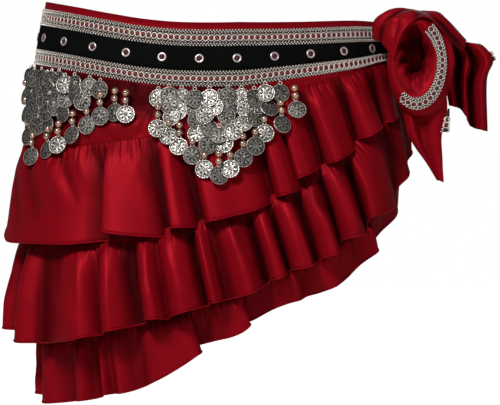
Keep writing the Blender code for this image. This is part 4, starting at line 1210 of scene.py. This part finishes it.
# Painted shade inside the loop's mouth, fading out at place 1.9.
MOUTH_END, MOUTH_PAINTED_SHADE = 1.9, 0.42
place, angle = np.meshgrid(np.linspace(0.04, 5.96, 66), np.linspace(-200, 160, 121), indexing="ij")
wrapped = np.where(angle < 0, angle + 360, angle) / CREASE_UNIT
creases = crease_field(angle / CREASE_UNIT, place, LOOP_CREASES) + crease_field(wrapped, place, LOOP_CREASES)
clear_of_braid = 1 - BRAID_CALM * np.exp(-(((place - BRAID_MIDDLE) / BRAID_REACH) ** 4))
inner_folds = crease_field(wrapped, place, INNER_FOLDS)
uneven = 0.5 * soft_noise(np.sin(np.radians(angle)) * 40, place * 12, 9, 12, 11)
loop_points = loop_surface(place, angle, (creases + uneven + inner_folds) * clear_of_braid)
# Painted shade: darker inside the mouth and in the hollows of the creases.
crease_painted_shade = np.clip(-0.25 * (creases + inner_folds), 0, 0.6)
loop_painted_shade = np.clip(MOUTH_END - place, 0, 1) * MOUTH_PAINTED_SHADE + crease_painted_shade * np.clip(3.2 - place, 0.3, 1)
loop_painted_shade = np.clip(loop_painted_shade, 0, 1)
bow_loop = sheet_object("loop_of_bow", loop_points[::-1], satin, DOUBLE_CLOTH, loop_painted_shade[::-1])
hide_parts("bow_loop")
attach(bow_loop, "root")
print("loop:", len(bow_loop.data.polygons), "faces")

# %% [markdown]
# ## Braid round the loop
#
# The same braid goes round the front of the loop, just behind its lip. The length round the loop is
# measured first, so that loops and grains keep the spacing that they have on the band.

# %% Braid round the loop
BRAID_FROM, BRAID_SHORTER, BRAID_OUT = 1.0, 0.4, 0.8
turns = np.linspace(62, -126, 181)
middle_line = loop_surface(np.full(181, 2.5), turns)
loop_length = np.concatenate([[0], np.cumsum(np.linalg.norm(np.diff(middle_line, axis=0), axis=1))])
braid_to = loop_length[-1] - BRAID_SHORTER


def on_loop_braid(along, share, out):
    angle = np.interp(along, loop_length, turns) - 9 * share * np.clip(1 - along / 25, 0, 1)
    widening = 0.5 * np.clip(angle / 50, 0, 1) ** 1.3
    return loop_surface(2.94 - (0.88 + widening) * share, angle, np.full(len(angle), BRAID_OUT) + out)


loop_braid = joined_object("silver_braid_on_loop", [
    backing_part(on_loop_braid, BRAID_FROM, braid_to, 60), *braid_parts(on_loop_braid, BRAID_FROM, braid_to)])
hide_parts("braid_loop")
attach(loop_braid, "root")
print("braid on the loop:", round(loop_length[-1]), "mm")

# %% [markdown]
# ## Cloth over the loop
#
# The end of the band goes over the loop and into the knot, which holds the bow together. It is a
# sheet between two edge lines. A crown along its middle keeps it clear of the loop under it.

# %% Cloth over the loop
WRAP_EDGES = (
    # top edge x, y, z, lower edge x, y, z
    (154.0, -61.5, 13.0, 172.0, -102.9, -9.0), (155.0, -61.0, 29.0, 177.0, -102.9, 8.0),
    (164.0, -62.0, 38.0, 184.0, -102.9, 21.0), (179.0, -60.0, 42.5, 194.0, -101.9, 30.3),
    (200.0, -58.0, 39.0, 206.0, -98.3, 31.5), (217.0, -58.0, 39.0, 219.0, -95.0, 21.0),
    (229.0, -54.0, 32.0, 231.0, -87.0, 8.0), (247.0, -50.0, 13.0, 243.0, -75.0, -1.0),
)
WRAP_CREASES = (
    # row of the table above and share of the way down at both ends, half width, height
    (0.2, 0.6, 3.6, 0.75, 0.13, 3.0), (0.1, 0.3, 3.3, 0.42, 0.10, -2.2), (0.4, 0.1, 3.0, 0.2, 0.12, 2.4),
    (3.2, 0.9, 4.4, 0.35, 0.12, -3.2), (4.2, 0.5, 6.8, 0.55, 0.14, 2.6), (4.6, 0.85, 6.6, 0.9, 0.12, -2.0),
    (3.6, 0.15, 5.4, 0.25, 0.12, 1.6), (0.0, 0.9, 2.2, 0.98, 0.10, 1.8), (0.3, 0.97, 2.8, 0.6, 0.07, -2.2),
    (0.9, 0.2, 2.3, 0.86, 0.10, 1.7), (4.3, 0.68, 6.6, 0.76, 0.06, -2.6), (4.7, 0.36, 6.9, 0.42, 0.07, -2.2),
    (3.0, 0.6, 3.9, 0.2, 0.07, -2.0),
)
COLUMN_WIDTH = 0.45
CROWN = 4.0
UPWARD = (0.2, -0.5, 1.0)
wrap_points = between_edges(WRAP_EDGES, 90, 34)
column, row = np.meshgrid(np.linspace(0, 7, 90), np.linspace(0, 1, 34))
crown = CROWN * np.sin(np.pi * row)
lean = np.array(UPWARD) / np.linalg.norm(UPWARD)
wrap_points = wrap_points + lean * crown[..., None]
wrap_creases = [(u0 * COLUMN_WIDTH, v0, u1 * COLUMN_WIDTH, v1, half_width, height)
                for u0, v0, u1, v1, half_width, height in WRAP_CREASES]
wrap_height = crease_field(column * COLUMN_WIDTH, row, wrap_creases)
wrap_height = wrap_height + 0.5 * soft_noise(column * 12, row * 30, 6, 14, 3)
wrap_points = pushed_out(wrap_points, np.maximum(wrap_height, -1.2) * np.clip(8 * row * (1 - row), 0.15, 1))
# Painted shade: darker in the hollows of the wrap's creases, and a little all over.
wrap_painted_shade = np.clip(0.06 - 0.5 * wrap_height, 0, 0.95)
wrap = sheet_object("wrap_of_knot", wrap_points, satin, DOUBLE_CLOTH, wrap_painted_shade)
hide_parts("knot_wrap")
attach(wrap, "root")
print("wrap:", len(wrap.data.polygons), "faces")

# %% [markdown]
# ## Tails of the bow
#
# Two ends of the band come out below the bow and hang in upright folds, cut to a point. Each is a
# sheet between a left and a right edge. A second table moves its columns forward and back, which
# gives the folds and the steps in the hem at the same time.

# %% Tails
TAIL_FRONT_EDGES = (
    # left x, z, right x, z, y, share of the folds
    (181.0, -62.0, 225.0, -42.0, -78.0, 1.0), (187.0, -79.0, 226.0, -60.0, -77.0, 1.0),
    (195.0, -93.0, 221.0, -82.0, -75.0, 1.0), (206.0, -108.0, 222.0, -104.0, -72.0, 1.0),
    (216.0, -124.0, 223.0, -127.0, -70.0, 1.0),
)
TAIL_FRONT_FOLDS = (
    # share across, mm forward, mm lower at the hem
    (0.0, 0.0, 0.0), (0.16, 4.5, 0.0), (0.34, -4.5, 0.0), (0.62, 2.5, 0.0), (0.86, 4.5, 0.0), (1.0, 2.0, 0.0),
)
TAIL_SIDE_EDGES = (
    (214.0, 24.0, 250.0, 10.0, -46.0, 0.2), (222.0, 5.0, 262.0, 7.0, -60.0, 0.7),
    (225.0, -12.0, 272.0, -8.0, -62.0, 1.0), (225.0, -29.0, 266.0, -28.0, -62.0, 1.0),
    (229.0, -52.0, 267.0, -77.0, -59.0, 1.0),
)
TAIL_SIDE_FOLDS = (
    (0.0, 2.0, 0.0), (0.13, 7.0, -2.0), (0.3, -7.0, -5.0), (0.46, 4.5, 1.0), (0.62, -8.0, 5.0),
    (0.84, 7.0, 3.0), (1.0, 1.0, 0.0),
)


FOLDS_MADE_FOR = 36
WIDEST_RING = 4


def tail_grid(edges, folds, columns, rows):
    """Rows run down the tail. Its upright folds are less deep where it is less than 36 mm wide. It also gives
    painted shade, darkest where the cloth lies back in a fold and lighter near the top.
    """
    at = np.linspace(0, len(edges) - 1, rows)[:, None]
    table = [(n, *row) for n, row in enumerate(edges)]
    left_x, left_z, right_x, right_z, back, deep = (table_value(table, at, k) for k in range(1, 7))
    share = np.linspace(0, 1, columns)[None, :]
    down = at / (len(edges) - 1)
    x = left_x + (right_x - left_x) * share
    z = left_z + (right_z - left_z) * share - table_value(folds, share, 2) * down
    forward = table_value(folds, share, 1) * deep * (right_x - left_x) / FOLDS_MADE_FOR
    ripple = 0.7 * soft_noise(share * 40 + 6 * down, down * 60, 6, 22, len(folds)) * deep
    # Painted shade: darker where a column lies back in a fold.
    tail_painted_shade = np.clip((1.0 - forward - ripple) / 8, 0, 1) * np.clip(4 * down, 0.3, 1)
    return np.stack([x, back - forward - ripple, z], -1), tail_painted_shade


def under_loop(x):
    """Height of the loop's widest ring on its underside."""
    left, right, low, high = LOOP_RINGS[WIDEST_RING][2:]
    share = np.clip((x - (left + right) / 2) / ((right - left) / 2), -1, 1)
    return (low + high) / 2 - (high - low) / 2 * np.sqrt(1 - share**2)


TAIL_COLUMNS, TAIL_ROWS = {"front": 40, "side": 72}, 56
front_grid, front_tail_painted_shade = tail_grid(TAIL_FRONT_EDGES, TAIL_FRONT_FOLDS, TAIL_COLUMNS["front"], TAIL_ROWS)
top_share = np.clip(1 - np.linspace(0, 4, TAIL_ROWS), 0, 1)[:, None]
front_grid[..., 2] += (under_loop(front_grid[..., 0]) - 0.8 - front_grid[..., 2]) * top_share
# The front tail gets a little over half of that painted shade.
tail_front = sheet_object("front_tail_of_bow", front_grid, satin, DOUBLE_CLOTH, 0.55 * front_tail_painted_shade)
side_grid, side_tail_painted_shade = tail_grid(TAIL_SIDE_EDGES, TAIL_SIDE_FOLDS, TAIL_COLUMNS["side"], TAIL_ROWS)
tail_side = sheet_object("side_tail_of_bow", side_grid, satin, DOUBLE_CLOTH, side_tail_painted_shade)
for tail, node in ((tail_front, "tail_front"), (tail_side, "tail_side")):
    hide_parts(node)
    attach(tail, "root")
    print(tail.name, len(tail.data.polygons), "faces")

# %% [markdown]
# ## Ends of the braid
#
# turned over at the front tail, and the tip of the other past the corner of the side tail. Both are
# the same braid laid on two small flat strips.

# %% Ends of the braid
BRAID_ENDS = {
    # upper left x, y, z, upper right x, y, z, lower left x, y, z, lower right x, y, z, length, bare length
    "front": (226.0, -86.5, -55.8, 227.8, -86.0, -55.8, 219.0, -86.8, -78.5, 227.4, -86.0, -78.5, 23.0, 8.0),
    "side": (266.6, -59.0, -0.5, 270.0, -58.0, 1.2, 271.6, -59.0, -9.5, 275.4, -58.0, -6.6, 10.5, 0.0),
}


def end_surface(corners, length):
    """Points on a flat strip between four corners."""
    high_left, high_right, low_left, low_right = np.array(corners).reshape(4, 3)
    normal = np.cross(low_left - high_left, low_right - low_left)
    normal /= np.linalg.norm(normal)

    def surface(along, share, out):
        down = (along / length)[:, None]
        across = np.broadcast_to(share, along.shape)[:, None]
        left = high_left + (low_left - high_left) * down
        right = high_right + (low_right - high_right) * down
        return left + (right - left) * across + normal * np.broadcast_to(out, along.shape)[:, None]
    return surface


for name, (*corners, length, bare) in BRAID_ENDS.items():
    surface = end_surface(corners, length)
    braid_end = joined_object(f"braid_end_{name}", [
        backing_part(surface, 0.0, length, 12), *braid_parts(surface, bare, length)])
    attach(braid_end, "root")
    print(braid_end.name, len(braid_end.data.polygons), "faces")

# %% [markdown]
# ## Heart of the knot
#
# The heart is the tight core that the wrap, loop and tails come out of. A sphere is stretched to its
# size, and its points are moved in and out in slanted waves, as cloth creases when it is pulled
# round a knot. Most of it is behind the bow, so it needs no more than that.

# %% Heart of the knot
KNOT_CENTRE, KNOT_RADII = (193.0, -40.9, -7.0), (20.0, 20.6, 25.0)
ROUND_KNOT, DOWN_KNOT = 0.13, 0.075
deselect()
bpy.ops.mesh.primitive_uv_sphere_add(segments=72, ring_count=36, radius=1.0)
heart = bpy.context.object
heart.name = heart.data.name = "heart_of_knot"
for vertex in heart.data.vertices:
    x, y, z = vertex.co
    pleat = 1 + 0.05 * math.sin(17 * x + 3 * z + 1.5 * math.sin(2.5 * z)) + 0.02 * math.sin(9 * x - 4 * z)
    vertex.co = [MM * (c + r * v * pleat) for c, r, v in zip(KNOT_CENTRE, KNOT_RADII, (x, y, z))]
heart.data.uv_layers[0].name = "cloth"
for corner in heart.data.uv_layers[0].data:
    corner.uv = (corner.uv[0] * ROUND_KNOT, corner.uv[1] * DOWN_KNOT)
heart.data.materials.append(satin)
activate(heart)
bpy.ops.object.shade_smooth()
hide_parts("knot_heart")
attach(heart, "root")
print("heart:", len(heart.data.polygons), "faces")

# %% [markdown]
# ## Tie behind the knot
#
# From the back, the other end of the band comes round to the knot. It is a strip like the ribbon,
# but as deep as the whole band, and it bulges and folds a little where it is pulled together.

# %% Tie behind the knot
TIE_FROM, TIE_TO = -470.0, 388.0
TIE_BULGE = ((0.0, 4.0), (0.3, 6.8), (0.7, 6.8), (1.0, 4.0))
step, share = np.meshgrid(np.linspace(0, 1, 80), np.linspace(0, 1, 40))
tie_s = TIE_FROM - (TIE_FROM + ROUND - TIE_TO) * step
tie_height = band_line(tie_s, "rim") * (1 - share) + band_line(tie_s, "bottom") * share
tie_out = table_value(TIE_BULGE, step) + 2.0 * np.sin(np.pi * share)
tie_folds = 1.3 * np.sin(2 * np.pi * (3.5 * share + 0.35 * np.sin(3 * step))) * np.sin(np.pi * share) ** 0.3
tie_noise = 0.3 * soft_noise(tie_s, share * 40, 14, 9, 6)
tie_points = on_base(tie_s, tie_height, tie_out + np.maximum(tie_folds, -1.0) + tie_noise)
tie = sheet_object("tie_of_band", tie_points[:, ::-1], satin, DOUBLE_CLOTH)
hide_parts("tie")
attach(tie, "root")
print("tie:", len(tie.data.polygons), "faces")
